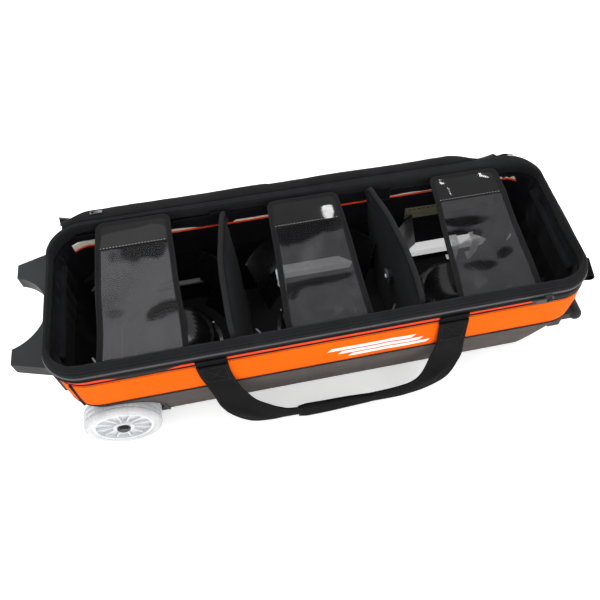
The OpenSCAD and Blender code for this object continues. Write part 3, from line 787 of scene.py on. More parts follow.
def build_walls(m):
    outer = panel_face(BAND_LOW, BAND_HIGH, 9, BAND_PUFF, BAND_WRINKLE)
    band = swept("orange_band", outer + [(SHEET_IN, BAND_HIGH), (SHEET_IN, BAND_LOW)], m["orange"])
    stand_for(band, "side_panels", "orange_cloth")

    low, high = FLOOR_Z - 10 * MM, SEAM_LOW - CORD_R * 0.8
    inner = [(SHEET_IN, z) for z in steps(high, low, 6)]
    panel = swept("grey_lower_panel", panel_face(low, high, 14, 1.2 * MM, 0.9 * MM) + inner, m["grey"])
    cutter = well_cutter()
    cut(panel, cutter)
    stand_for(panel, "lower_panels", "grey_cloth")
    return cutter


def seam_path(z, inset, wander=0.35 * MM, **counts):
    path = []
    for point, normal in outline(z, -inset, **counts):
        drift = wobble(point, 24, wander, z * 70)
        path.append((point + normal * drift + Vector((0, 0, wobble(point, 19, wander, 9))), normal))
    return path


def build_cords(m):
    for name, z, node in (("lower_cord", SEAM_LOW, "lower_piping"),
                          ("upper_cord", SEAM_HIGH, "upper_piping")):
        obj = cord(name, seam_path(z, 1 * MM), CORD_R, m["cord"], "shell")
        stand_for(obj, node, "black_cord")
        for side, z_off in (("a", CORD_R + 2.2 * MM), ("b", -CORD_R - 2.2 * MM)):
            if name == "upper_cord" and side == "a":
                continue
            lift = 0.8 * MM if z + z_off > SEAM_LOW else 0.5 * MM
            row = [(p + n * lift, n) for p, n in outline(z + z_off)]
            stitches(f"{name}_stitches_{side}", row + row[:1], m["thread"], "shell")
    low, high = SEAM_HIGH + CORD_R * 0.6, TAPE_LOW
    outer = panel_face(low, high, 4, 0.4 * MM, 0.5 * MM, -0.5 * MM)
    # The recess strip is orange cloth painted darker and redder: painted shade of the recess.
    strip = swept("red_recess", outer + [(SHEET_IN, high), (SHEET_IN, low)], m["orange_painted_shade"])
    stand_for(strip, "recess_strip", "red_strip")


def lean(p, n):
    """The far rim is narrower towards the left and wider towards the right, in millimetres."""
    return 8 * min(max(p.x / (290 * MM), -1), 1) * max(n.y, 0)


def rim_reach(inset, p, n):
    """Inset in millimetres on the rim, stretched to the rim's width there."""
    width = 8 + (12 + lean(p, n)) * abs(n.y)
    return 3 + (inset - 3) * (width - 3) / 17


def settle(p):
    """Soft rise and fall of the rim's top."""
    top = smooth_step((p.z - RIM_TOP + 14 * MM) / (14 * MM))
    roll = ripple(p.x * 15, p.y * 15, 7.0) * 1.3
    crimp = ripple(p.x * 95, p.y * 95, 2.0) * 0.5
    return UP * ((roll + crimp) * top * MM)


def build_rim(m):
    tape = swept("zipper_band", [(-1.2 * MM, TAPE_LOW), (-1 * MM, COIL_Z), (-1.2 * MM, RIM_TOP - 3 * MM),
                                 (-3 * MM, RIM_TOP - 2 * MM), (-3 * MM, TAPE_LOW)], m["tape"])
    stand_for(tape, "zipper_tape", "zipper_cloth")

    def hang(p, n):
        """How far the lower flap of the band hangs down over the bright recess."""
        wave = ripple(p.x * 16, p.y * 16, 5.0) * 0.5
        drop = 2.0
        if n.y < -0.3:
            drop = 0.1
            for x, reach, extra in ((-294, 38, 8.5), (375, 34, 8.5), (270, 48, 1.2)):
                drop += extra * smooth_step(1.6 - abs(p.x / MM - x) / reach)
        return min(drop + wave, 9) * MM

    profile = ((-0.9, 3), (-0.2, 2.4), (0.2, -0.4), (0.5, 0), (-0.4, 0), (-1.0, 0))
    flap = swept("zipper_flap", [(off * MM, TAPE_LOW + z * MM) for off, z in profile], m["tape"],
                 move=lambda p, n, k: UP * (-hang(p, n) if k in (3, 4) else 0))
    stand_for(flap, slot="zipper_cloth")
    path = seam_path(COIL_Z, 0.2 * MM, 0.2 * MM)
    row = teeth("zipper_teeth", path + path[:1], m["coil"], "shell")
    stand_for(row, "zipper_coil", "zipper_coil")
    path = [(p + n * 0.15 * MM, n) for p, n in outline(TAPE_LOW + 4 * MM, -1.1 * MM)]
    stitches("zipper_band_stitches", path + path[:1], m["thread"], "shell", *TAPE_STITCH)

    section = [(2.6, -20.5), (2.2, -12), (1.2, -5), (0.9, -2.2), (2.0, -0.5), (4.5, 0.5), (8, 1.3),
               (12, 1.5), (15.5, 0.9), (18, -0.8), (19.6, -3.4), (20, -7), (19.6, -13), (18.5, -20.5)]
    counts = dict(long_steps=210, end_steps=70, corner_steps=18)
    rings = []
    for inset, z in section:
        inner = max((inset - 1.2) / 18.8, 0)
        ring = []
        for p, n in outline(RIM_TOP + z * MM, **counts):
            reach = inset if inset < 3 else rim_reach(inset, p, n)
            puckers = ripple(p.x * 70, p.y * 70, 4.0) * 0.9 * inner
            waves = ripple(p.x * 13, p.y * 13, 1.0) * 1.6 * inner
            spot = p - n * (reach + puckers + waves) * MM
            ring.append(spot + settle(spot))
        rings.append(ring)
    rim = skin("padded_rim", rings, m["rim"], "shell", closed_v=True)
    stand_for(rim, "rim", "rim_cloth")
    for inset, z, label in ((4.6, 0.9, "outer"), (15.2, 1.4, "inner")):
        line = []
        for p, n in outline(RIM_TOP, **counts):
            spot = p - n * rim_reach(inset, p, n) * MM
            line.append((spot + UP * (z + 0.1) * MM + settle(spot), UP))
        stitches(f"rim_stitches_{label}", line + line[:1], m["thread"], "shell", 4.4 * MM, 3 * MM)


def lining_ring(z, inner):
    """Ring of the lining's inner or outer face at height z, with folds that gather in the corners."""
    ring = []
    t = smooth_step((z - FLOOR_Z) / (SEAM_LOW - FLOOR_Z))
    for p, n in outline(z, long_steps=190, end_steps=64, corner_steps=20):
        if not inner:
            ring.append(p - n * 4.3 * MM)
            continue
        upper = 9 + 9 * abs(n.y) + lean(p, n) * smooth_step((z - 205 * MM) / (24 * MM))
        inset = upper if z >= SEAM_LOW else 10 + (upper - 3 - 10) * t
        corner = exp(-((HALF_L - abs(p.x)) / (52 * MM)) ** 2)
        corner *= smooth_step((p.y + 20 * MM) / (90 * MM))
        tall = smooth_step((z - 40 * MM) / (60 * MM))
        folds = ripple(p.x * 42, p.y * 42, p.z * 8 + 2) * (1.0 + 6.5 * corner) * tall
        creases = ripple(p.x * 24, p.y * 24, p.z * 34 + 5) * (0.7 + 3.2 * corner) * tall
        turn = atan2(max(abs(p.y) - HALF_W + CORNER_R, 0),
                          max(abs(p.x) - HALF_L + CORNER_R, 1e-6))
        pleats = 1.5 * sin(turn * 18) * corner * smooth_step((z - 150 * MM) / (60 * MM))
        soft = ripple(p.x * 90, p.y * 90, p.z * 50) * 0.3
        swell = 0.6 * sin(pi * share_of(z, 30 * MM, 220 * MM))
        ring.append(p - n * (inset + swell + folds + creases + pleats + soft + 1.2 * corner) * MM)
    return ring


def build_lining(m, cutter):
    heights = steps(BOARD_Z, RIM_TOP - 21 * MM, 44)
    rings = [lining_ring(z, True) for z in heights]
    rings += [lining_ring(z, False) for z in reversed(heights[::11])]
    lining = skin("padded_lining", rings, m["lining"], "shell", closed_v=True)
    cut(lining, cutter)
    bpy.data.objects.remove(cutter)
    stand_for(lining, "lining", "lining_cloth")
    for side in (-1, 1):
        path = []
        for y in steps(-88 * MM, 88 * MM, 40):
            x = side * (HALF_L - 10.5 * MM)
            z = (206 + 2.5 * sin(y * 30)) * MM + wobble((x, y, 0), 25, 1.2 * MM)
            path.append((Vector((x, y, z)), Vector((-side, 0, 0))))
        # The roll uses the paler divider cloth: a painted highlight along the top of the lining.
        bound = cord(f"end_wall_edge_{'near' if side < 0 else 'far'}", path, 6.5 * MM, m["divider"],
                     "shell", closed=False)
        stand_for(bound, slot="lining_cloth")


def build_board(m):
    """Cream board along the far wall: its ends curl round the corners, its top edge is bound."""
    lo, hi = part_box("wall_board")
    bind_lo, bind_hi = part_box("board_binding")
    y_mid = (lo.y + hi.y) / 2
    r, half_thick = 45 * MM, 1.4 * MM

    def curl(x, way, i):
        a = radians(i * 5.5)
        return (Vector((x + way * r * sin(a), y_mid - r * (1 - cos(a)), 0)),
                Vector((-way * sin(a), -cos(a), 0)))

    path = [curl(lo.x, -1, i) for i in range(7, 0, -1)]
    path += [(Vector((x, y_mid + wobble((x, 0, 0), 6, 0.7 * MM) - 0.8 * MM, 0)), Vector((0, -1, 0)))
             for x in steps(lo.x, hi.x, 60)]
    path += [curl(hi.x, 1, i) for i in range(1, 8)]
    columns = [[p + n * off + UP * z for p, n in path]
               for off, z in ((half_thick, lo.z), (half_thick, hi.z), (-half_thick, hi.z),
                              (-half_thick, lo.z))]
    board = strip_of("wall_board_sheet", columns, m["cream"], "shell")
    for polygon in board.data.polygons:
        polygon.use_smooth = False
    stand_for(board, "wall_board", "cream_board")
    z = (bind_lo.z + bind_hi.z) / 2 - 0.4 * MM
    # The board binding is orange, painted darker and redder: painted shade.
    binding = cord("wall_board_binding", [(p + UP * z, n) for p, n in path], 2.3 * MM, m["orange_painted_shade"], "shell",
                   closed=False)
    stand_for(binding, "board_binding", "orange_cloth")


# ---------------------------------------------------------------- inside the bag
def divider_half(z):
    """Half width of a divider at height z over its foot."""
    if z < 62 * MM:
        return 84 * MM
    if z < 74 * MM:
        return (84 + 25 * smooth_step((z - 62 * MM) / (12 * MM))) * MM
    if z < 120 * MM:
        return (109 + 14 * (z - 74 * MM) / (46 * MM)) * MM
    wide = 123 * MM + 3.5 * MM * smooth_step((z - 120 * MM) / (70 * MM))
    return wide - 8 * MM * rounding(max(z - 206 * MM, 0) / (8 * MM))


def curve_through(points, y):
    """Smooth curve through a few (y, x) points."""
    total = 0.0
    for yi, xi in points:
        for yj, _ in points:
            if yj != yi:
                xi *= (y - yj) / (yi - yj)
        total += xi
    return total


def build_divider(m, name, node, foot_x, skew, top_line):
    """Padded wall from its foot on the floor board up to its curved top edge."""
    top = 214 * MM

    def place(z, y, off):
        high = z / top
        x = foot_x + skew * y
        x += (curve_through(top_line, y) - x) * high ** 1.25
        x += ripple(y * 11, z * 8, foot_x * 9) * 2.2 * MM * high
        quilt = ripple(y * 20, z * 18, foot_x * 5 + (3 if off > 0 else 8)) * 1.1 * MM
        gather = smooth_step((y - 96 * MM) / (30 * MM)) * high ** 3
        x += gather * 1.6 * MM * sin(z * 260 + y * 120)
        z += 1.6 * MM * sin(y * 22 + foot_x * 40) * high + 6 * MM * gather
        return Vector((x + off * (1 - 0.35 * gather) + (quilt if off > 0 else -quilt), y, BOARD_Z + z))

    def thickness(z, s):
        side = 1 - abs(s) ** 7
        rise = min(z / (10 * MM), 1) * min((top - z) / (10 * MM), 1)
        seam = 1 - 0.18 * exp(-((z - 203 * MM) / (3.2 * MM)) ** 2)
        t = (1.6 + 5.6 * max(side, 0) ** 0.6 * max(rise, 0) ** 0.5 * seam) * MM
        return t, t

    obj = pillow(name, steps(0, top, 70), divider_half, thickness, place, m["divider"], "shell", 48)
    stand_for(obj, node, "lining_cloth")
    path = [(place(z, -divider_half(z), 0), Vector((0, -1, 0.1))) for z in steps(186 * MM, 204 * MM, 8)]
    for i in range(1, 60):
        share = -1 + 2 * i / 60
        z = 206 * MM + 8 * MM * sqrt(max(1 - abs(share) ** 24, 0))
        path.append((place(z, share * 125 * MM, 0), Vector((0, share ** 15, 1)).normalized()))
    path += [(place(z, divider_half(z), 0), Vector((0, 1, 0.1))) for z in steps(204 * MM, 186 * MM, 8)]
    # The top binding is paler than the divider faces: painted light from above.
    bound = cord(f"{name}_binding", path, 4.2 * MM, m["edge"], "shell", closed=False, squash=1.1)
    stand_for(bound, slot="lining_cloth")


# Places of the straps: middle line at the near and the far end, near and far edge of the tab, and
# the patches of the window made clearer and darker, painted dark reflections,
# as (x, y, half length, half width, turn, share).
STRAPS = {
    "left": (-289.5, -290.5, 74, 134, ((-282, 80, 62, 44, 0, 1), (-251, -50, 34, 17, 14, 1),
                                      (-328, -41, 14, 9, 0, 0.5), (-240, -8, 20, 9, 20, 0.25))),
    "middle": (0, -1.5, 62, 123, ((-18, 60, 86, 36, 8, 1), (2, -46, 56, 9, 3, 0.9),
                                  (-50, -58, 14, 16, 0, 0.9), (30, 52, 34, 16, 0, 0.8))),
    "right": (277.5, 286, 60, 120, ((262, 17, 42, 12, -4, 1), (258, -68, 32, 12, -6, 0.9),
                                    (308, -52, 17, 11, 20, 0.9), (232, -10, 36, 18, 2, 1),
                                    (258, -10, 30, 13, 2, 0.65))),
}


def strap_surface(label, seed):
    """Middle surface of one ball strap: y runs along it and s from -1 to 1 across it."""
    near_x, far_x, tab_near, tab_far, _ = STRAPS[label]
    y1 = tab_near * MM

    def at(y, s):
        t = share_of(y, STRAP_START, y1)
        share = (y - STRAP_START) / (tab_far * MM - STRAP_START)
        half = 70 - 8.5 * share
        arch = sin(pi * t)
        z = 229.5 + 22.2 * t - 1.2 * smooth_step((y - y1 - 30 * MM) / (30 * MM))
        z += -3.4 * arch * (1 - 0.45 * s * s)
        z += ripple(seed, t * 2.6, s * 1.1) * 4.2 * arch
        z += s * 2.0 * sin(pi * t + seed) * arch
        z += ripple(seed, s * 2.2, y * 24) * 0.25 * (1 - arch)
        x = near_x + (far_x - near_x) * share + s * half
        x += ripple(seed + 5, t * 2.2, 0) * 1.6
        return Vector((x * MM, y, z * MM))
    return at


def strap_edge(far, inset):
    """Points (y, s, outward y, outward s) up the left side of a strap, round its far corners and
    back down the right side. inset is how far they keep inside its edge."""
    r = 14 * MM - inset
    edge, top = STRAP_HALF - inset, far - inset
    side = [(y, -edge, 0, -1) for y in steps(STRAP_START, top - r, 48)]
    side += [(top - r + r * sin(a), -edge + r - r * cos(a), sin(a), -cos(a))
             for a in (pi * i / 20 for i in range(1, 11))]
    end = [(top, u, 1, 0) for u in steps(r - edge, edge - r, 24)[1:-1]]
    return [(y, u / STRAP_HALF, oy, ou / STRAP_HALF) for y, u, oy, ou in
            side + end + [(y, -u, oy, -ou) for y, u, oy, ou in reversed(side)]]


def clear_and_painted_dark(p, patches):
    """Share from 0 to 1 of a clear, darker patch at a point of the window: a painted dark reflection."""
    value = 0.0
    edge = noise.noise(p * 38) * 0.3 + noise.noise(p * 90) * 0.08
    for x, y, long, wide, turn, share in patches:
        a = radians(turn)
        dx, dy = p.x / MM - x, p.y / MM - y
        u, v = dx * cos(a) + dy * sin(a), dy * cos(a) - dx * sin(a)
        reach = 1 - hypot(u / long, v / wide) + edge
        value = max(value, share * smooth_step(reach / 0.3))
    return value


def build_strap(m, label, seed):
    body = f"strap_{label}"
    at = strap_surface(label, seed)
    _, _, tab_near, tab_far, patches = STRAPS[label]
    near, far = tab_near * MM, tab_far * MM
    rows, cols = 56, 32
    rings = [[at(y, -0.93 + 1.86 * i / cols) for i in range(cols + 1)]
             for y in steps(STRAP_START, near + 5 * MM, rows)]
    window = skin(f"strap_window_{label}", rings, m["vinyl"], body, closed_u=False)
    layer = window.data.attributes.new("clear", "FLOAT", "POINT")
    layer.data.foreach_set("value", [clear_and_painted_dark(p, patches) for ring in rings for p in ring])
    modify(window, "SOLIDIFY", thickness=0.8 * MM, offset=0)
    apply_modifiers(window)
    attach(window, body)
    stand_for(window, f"ball_strap_{label}", "clear_vinyl")

    def surface_frame(y, s, oy, os, lift):
        p = at(y, s)
        across = (at(y + oy * MM, s + os * MM) - p).normalized()
        along = (at(y + os * STRAP_HALF * MM, s - oy / STRAP_HALF * MM) - p).normalized()
        up = across.cross(along)
        if up.z < 0:
            up = -up
        return p + up * lift, across, up

    line = [surface_frame(*q, 0.2 * MM) for q in strap_edge(far, 4.8 * MM)]
    ribbon(f"strap_binding_{label}", line, m["binding"], body, 9.6 * MM, 3 * MM)
    for inset in (1.6 * MM, 8 * MM):
        row = [surface_frame(*q, 1.75 * MM) for q in strap_edge(far, inset)]
        stitches(f"strap_stitches_{int(inset / MM)}_{label}", [(p, up) for p, _, up in row], m["thread"],
                 body, *FINE_STITCH)

    def tab_place(y, u, off):
        dent = ripple(seed * 3, u * 34, y * 40) * 0.1 * MM
        return at(y, u / STRAP_HALF) + UP * (off + dent)

    def tab_half(y):
        return 64 * MM - 12 * MM * rounding(max(y - far + 13 * MM, 0) / (12 * MM))

    pillow(f"strap_tab_{label}", steps(near, far - 1 * MM, 30), tab_half,
           lambda y, s: ((1.3 - 0.8 * abs(s) ** 12) * MM, (1.0 - 0.5 * abs(s) ** 12) * MM),
           tab_place, m["tab"], body, 34)
    row = [(tab_place(near + 3 * MM, u, 1.35 * MM), UP) for u in steps(-56 * MM, 56 * MM, 40)]
    stitches(f"strap_tab_stitches_{label}", row, m["pale_thread"], body, 5.2 * MM, 1.9 * MM, 1.1 * MM)


# ---------------------------------------------------------------- carry handles
# Edges of the webbing from the left leg to the right one: (x, height under the rim) in mm
WEB_OUTER = ((-215, 0), (-213, -26), (-208, -52), (-203, -82), (-195, -131), (-178, -168), (-154, -196),
             (-124, -205), (-78, -205), (0, -205), (78, -205), (124, -205), (165, -196), (200, -165),
             (217, -110), (217, -60), (217, -26), (217, 0))
WEB_INNER = ((-166, 0), (-165, -26), (-161, -55), (-155, -78), (-147, -100), (-137, -124), (-119, -146),
             (-100, -165), (-76, -177), (0, -177), (76, -177), (118, -171), (138, -160), (152, -136),
             (162, -95), (168, -60), (168, -26), (168, 0))
# Creases where the webbing bends: x, height, direction across the crease, depth
WEB_CREASES = ((-168, -150, 0.74, 0.67, 2.6), (-150, -175, 0.6, 0.8, 1.6),
               (168, -158, -0.68, 0.73, 2.4), (186, -140, -0.8, 0.6, 1.4))
WEB_THIN = 1.15


def spline(points, count):
    """Smooth curve through points, evenly spread over their own steps."""
    out = []
    n = len(points)
    for i in range(count + 1):
        x = (n - 1) * i / count
        k = min(int(x), n - 2)
        t = x - k
        p = [Vector(points[min(max(k + d, 0), n - 1)]) for d in (-1, 0, 1, 2)]
        out.append(0.5 * ((2 * p[1]) + (p[2] - p[0]) * t + (2 * p[0] - 5 * p[1] + 4 * p[2] - p[3]) * t * t
                          + (3 * p[1] - p[0] - 3 * p[2] + p[3]) * t ** 3))
    return out


def build_carry(m, side):
    label = "near" if side < 0 else "far"
    body = f"carry_{label}"
    count = 170
    outs, ins = spline(WEB_OUTER, count), spline(WEB_INNER, count)
    where = (Matrix.Translation((0, side * 153 * MM, 216 * MM))
             @ Matrix.Rotation(radians(5) * side, 4, "X"))
    outward = where.to_3x3() @ Vector((0, side, 0))

    def surface(i, s, off):
        """Point across the webbing: s is 0 at the outer edge and 1 at the inner one."""
        a, b = outs[i], ins[i]
        x = a.x + (b.x - a.x) * s
        z = a.y + (b.y - a.y) * s
        low = smooth_step((-z - 120) / 80)
        out = 1.2 * sin(x * 0.013 + 1.0) * low
        out += ripple(x * 0.012, z * 0.016, 3.0) * 3.0 * smooth_step(-z / 60)
        for cx, cz, ax, az, depth in WEB_CREASES:
            across = (x - cx) * ax + (z - cz) * az
            along = -(x - cx) * az + (z - cz) * ax
            out += depth * exp(-(across / 5.0) ** 2) * exp(-(along / 42.0) ** 2)
        cup = 1.3 * (1 - (2 * s - 1) ** 2) * low
        return where @ Vector((x * MM, side * (out + cup + off) * MM, z * MM))

    shares = [0.0, 0.02, 0.08, 0.2, 0.35, 0.5, 0.65, 0.8, 0.92, 0.98, 1.0]
    section = [(s, WEB_THIN * (1 if 0.01 < s < 0.99 else 0.3)) for s in shares]
    section += [(s, -off) for s, off in reversed(section)]
    columns = [[surface(i, s, off) for i in range(count + 1)] for s, off in section]
    strap = strip_of(f"carry_webbing_{label}", columns, m["webbing"], body)
    stand_for(strap, f"carry_handle_{label}", "webbing")

    def grip(u, v, off):
        z = -191 * MM + v
        bend = ripple(u * 14, v * 30, 2.0) * 1.2 * MM + 1.1 * MM
        return where @ Vector((u, side * (off + bend), z))

    def bulge(u, s):
        end = min((70 * MM - abs(u)) / (5 * MM), 1)
        t = (1.6 + 2.4 * (1 - s ** 6) * max(end, 0) ** 0.5) * MM
        return t, t * 0.9

    def grip_half(u):
        return (17.6 * MM - u * 0.045) * (0.78 + 0.22 * smooth_step((70 * MM - abs(u)) / (16 * MM)))

    wrap = pillow(f"carry_grip_{label}", steps(-70 * MM, 70 * MM, 60), grip_half, bulge, grip,
                  m["webbing"], body, 20)
    stand_for(wrap, f"grip_wrap_{label}", "webbing")
    for tag, u in (("a", -66), ("b", 66)):
        row = [(grip(u * MM, v, bulge(u * MM, v / (14.8 * MM))[0] + 0.2 * MM), outward)
               for v in steps(-12 * MM, 12 * MM, 10)]
        stitches(f"grip_stitches_{tag}_{label}", row, m["thread"], body, *BOX_STITCH)
    for s, tag in ((0.05, "outer"), (0.95, "inner")):
        row = [(surface(i, s, WEB_THIN + 0.15), outward) for i in range(count + 1)]
        stitches(f"webbing_stitches_{tag}_{label}", row, m["thread"], body, *LONG_STITCH)
    for tag, end in (("left", 0), ("right", -1)):
        left, right = sorted((outs[end].x, ins[end].x))
        line = [(Vector(((left + right) / 2 * MM, side * (HALF_W + 1.9 * MM), z)), Vector((1, 0, 0)),
                 Vector((0, side, 0))) for z in steps(209 * MM, 230 * MM, 8)]
        root = ribbon(f"carry_root_{tag}_{label}", line, m["webbing"], "shell", (right - left) * MM, 2.2 * MM)
        stand_for(root, slot="webbing")
    for tag, i0, i1 in (("left", 3, 16), ("right", count - 3, count - 16)):
        loop = ((i0, 0.12), (i0, 0.88), (i1, 0.88), (i1, 0.12), (i0, 0.12), (i1, 0.88), (i1, 0.12),
                (i0, 0.88))
        row = []
        for (ia, sa), (ib, sb) in zip(loop, loop[1:]):
            for t in (k / 12 for k in range(12)):
                i = int(round(ia + (ib - ia) * t))
                row.append((surface(i, sa + (sb - sa) * t, WEB_THIN + 0.25), outward))
        stitches(f"webbing_box_{tag}_{label}", row, m["thread"], body, *BOX_STITCH)


# ---------------------------------------------------------------- lid
LID_ANGLE = radians(231)
HINGE = Vector((0, 160 * MM, 250 * MM))
LID_Z = 253 * MM
LID_OPEN = Matrix.Translation(HINGE) @ Matrix.Rotation(-LID_ANGLE, 4, "X") @ Matrix.Translation(-HINGE)
LID_TURN = LID_OPEN.to_3x3()
LID_OUT = LID_TURN @ UP
LID_DROP = LID_TURN.inverted() @ Vector((0, -7 * MM, -11 * MM))


def lid_half(x):
    """Half width of the lid panel at x, inside its cord."""
    r = CORNER_R - 4 * MM
    return HALF_W - 4 * MM - r * rounding(max(abs(x) - (HALF_L - 4 * MM - r), 0) / r)


def lid_waves(x, y, size):
    return ripple(x * 7, y * 9, 6.0) * size + ripple(x * 26, y * 26, 1.0) * size * 0.3


def lid_sag(x, y):
    """The hinge side of the lid hangs a little lower towards its right end."""
    return LID_DROP * smooth_step((x - 256 * MM) / (84 * MM)) * smooth_step((y - 50 * MM) / (90 * MM))


def lid_place(x, y, off):
    """Point of the open lid, off above its plane, with its waves and its sag."""
    return LID_OPEN @ (Vector((x, y, LID_Z + off + lid_waves(x, y, 1.5 * MM))) + lid_sag(x, y))


def build_lid(m):
    panel = pillow("lid_panel_cloth", ease_steps(-HALF_L + 4.1 * MM, HALF_L - 4.1 * MM, 120), lid_half,
                   lambda u, s: (3 * MM, 2.2 * MM), lambda x, y, off: lid_place(x, y, 5 * MM + off),
                   m["lid"], "lid", 60)
    stand_for(panel, "lid_panel", "lid_cloth")

    def lining_place(x, y, off):
        return lid_place(x, y, 2.7 * MM + off + ripple(x * 60, y * 60, 3.0) * 0.5 * MM)

    lining = pillow("lid_lining_cloth", ease_steps(-HALF_L + 4.6 * MM, HALF_L - 4.6 * MM, 120),
                    lambda x: lid_half(x) - 0.5 * MM, lambda u, s: (0.5 * MM, 0.6 * MM), lining_place,
                    m["lining"], "lid", 60)
    stand_for(lining, "lid_lining", "lining_cloth")

    def pocket_half(x):
        return 105 * MM - 26 * MM * rounding(max(abs(x) - 344 * MM, 0) / (26 * MM))

    def pocket_thick(x, s):
        end = min((370 * MM - abs(x)) / (8 * MM), 1)
        side = 1 - abs(s) ** 10
        return (1.5 + 12.5 * max(side, 0) ** 0.5 * max(end, 0) ** 0.5) * MM, 0.4 * MM

    def pocket_place(x, y, off):
        """The pocket is sewn 4 mm nearer the zipper than its own middle; only its front is puffed."""
        puff = 0
        if off > 0:
            puff = ripple(x * 11, y * 16, 2.0) * 2.4 * MM + ripple(x * 34, y * 22, 5.0) * 0.9 * MM
        high = LID_Z + 8.1 * MM + off + puff + lid_waves(x, y, 1.5 * MM)
        return LID_OPEN @ (Vector((x, y - 4 * MM, high)) + lid_sag(x, y - 4 * MM))

    pocket = pillow("lid_pocket_cloth", ease_steps(-370 * MM, 370 * MM, 110), pocket_half, pocket_thick,
                    pocket_place, m["lid"], "lid", 46)
    stand_for(pocket, "lid_pocket", "lid_cloth")
    zip_line = [pocket_place(x, 72 * MM, 14.6 * MM) for x in steps(-330 * MM, 330 * MM, 160)]
    across = LID_TURN @ Vector((0, 1, 0))
    ribbon("pocket_zipper_band", [(p, across, LID_OUT) for p in zip_line], m["tape"], "lid",
           26 * MM, 1.2 * MM)
    teeth("pocket_zipper_teeth", [(p + LID_OUT * 0.9 * MM, LID_OUT) for p in zip_line], m["coil"], "lid")
    for v, tag in ((-11 * MM, "low"), (11 * MM, "high")):
        row = [(p + across * v + LID_OUT * 0.7 * MM, LID_OUT) for p in zip_line]
        stitches(f"pocket_stitches_{tag}", row, m["thread"], "lid")
    base = pocket_place(318 * MM, 72 * MM, 15.6 * MM)
    metal_piece("pocket_slider", LID_TURN, base, (14, 10, 4), m["zip"], "lid")
    metal_piece("pocket_pull", LID_TURN, base + LID_TURN @ Vector((-20 * MM, 0, 1.6 * MM)),
                (30, 8, 1.8), m["zip"], "lid", hole=True)

    def open_loop(loop, kept):
        """The part of a closed loop that is kept, in order from one end of the gap to the other."""
        keep = [i for i, (p, _) in enumerate(loop) if kept(p)]
        gap = next((k for k in range(1, len(keep)) if keep[k] != keep[k - 1] + 1), 0)
        return [loop[i] for i in keep[gap:] + keep[:gap]]

    loop = open_loop(outline(SEAM_HIGH, -1 * MM),
                     lambda p: p.y <= HALF_W - 10 * MM or abs(p.x) >= HALF_L - CORNER_R + 1 * MM)
    path = []
    for q, n in loop:
        p = Vector((q.x, q.y, LID_Z + 4 * MM)) + lid_sag(q.x, q.y)
        path.append((LID_OPEN @ (p + n * wobble(p, 20, 0.3 * MM)), LID_TURN @ n))
    piping = cord("lid_cord", path, CORD_R, m["cord"], "lid", closed=False)
    stand_for(piping, "lid_piping", "black_cord")

    skirt = open_loop(outline(SEAM_HIGH, 1.4 * MM), lambda p: p.y < HALF_W - CORNER_R + 1.5 * MM)
    line, rail = [], []
    for p, n in skirt:
        # The band folds flat under the lid on the far half of its right end
        a = 1.3 * smooth_step(p.x / (200 * MM)) * smooth_step((p.y + 30 * MM) / (60 * MM))
        drop_way = -UP * cos(a) - n * sin(a)
        face = n * cos(a) - UP * sin(a)
        root = Vector((p.x, p.y, 253.9 * MM + wobble(p, 18, 0.5 * MM))) + lid_sag(p.x, p.y)
        line.append((LID_OPEN @ (root + drop_way * 5.7 * MM), LID_TURN @ -drop_way, LID_TURN @ face))
        if a < 0.3:
            rail.append((LID_OPEN @ (root + drop_way * 10.3 * MM - face * 0.2 * MM), LID_TURN @ -face))
    band = ribbon("lid_zipper_band", line, m["tape"], "lid", 11.4 * MM, 1.4 * MM)
    stand_for(band, "lid_zipper_tape", "zipper_cloth")
    teeth("lid_zipper_teeth", rail, m["coil"], "lid")


def build_fold(m):
    """Strip of cloth that joins the far wall to the lid and folds along the hinge."""
    profile = [(146.5, 236), (147.6, 243), (149.5, 248.6), (153, 251.6), (157.5, 252.6), (162, 251.8),
               (165.6, 248.4), (167.2, 243.6), (166.8, 238.6), (165.4, 235)]
    inward = [(145.2, 236), (146.2, 243.4), (148.2, 250), (152.6, 253.4), (157.6, 254.6), (163, 253.6),
              (167.4, 249.6), (169.2, 243.8), (168.6, 238), (166.8, 234)]
    stations = ease_steps(-(HALF_L - 21 * MM), HALF_L - CORNER_R + 4 * MM, 170)
    rings = []
    for y_full, z_full in profile + list(reversed(inward)):
        ring = []
        for x in stations:
            small = 0.7 * smooth_step((-x - 366 * MM) / (44 * MM))
            y, z = y_full + (150 - y_full) * small, z_full + (247 - z_full) * small
            roll = ripple(x * 8, 1.0, 0) * 2.0
            crease = ripple(x * 40, z * 0.06, 4.0) * 0.7
            step = 2.2 * smooth_step((x + 62 * MM) / (9 * MM)) - 1.0
            step += 5.5 * smooth_step((x - 296 * MM) / (60 * MM)) * smooth_step((y - 150) / 10)
            high = smooth_step((z - 236) / 12)
            end = smooth_step((x - 270 * MM) / (66 * MM))
            corner = 58 * rounding(max((-x - HALF_L + CORNER_R) / CORNER_R, 0))
            corner *= 1 - smooth_step((y - 147) / 12)
            y_now = y - corner + (roll * 0.5 - step - 7 * end) * smooth_step((y - 148) / 8)
            ring.append(Vector((x, y_now * MM, (z + (roll * 0.6 + crease - 9 * end) * high) * MM)))
        rings.append(ring)
    strip = strip_of("lid_fold_cloth", rings, m["lid"], None)
    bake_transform(strip)
    stand_for(strip, slot="lid_cloth")


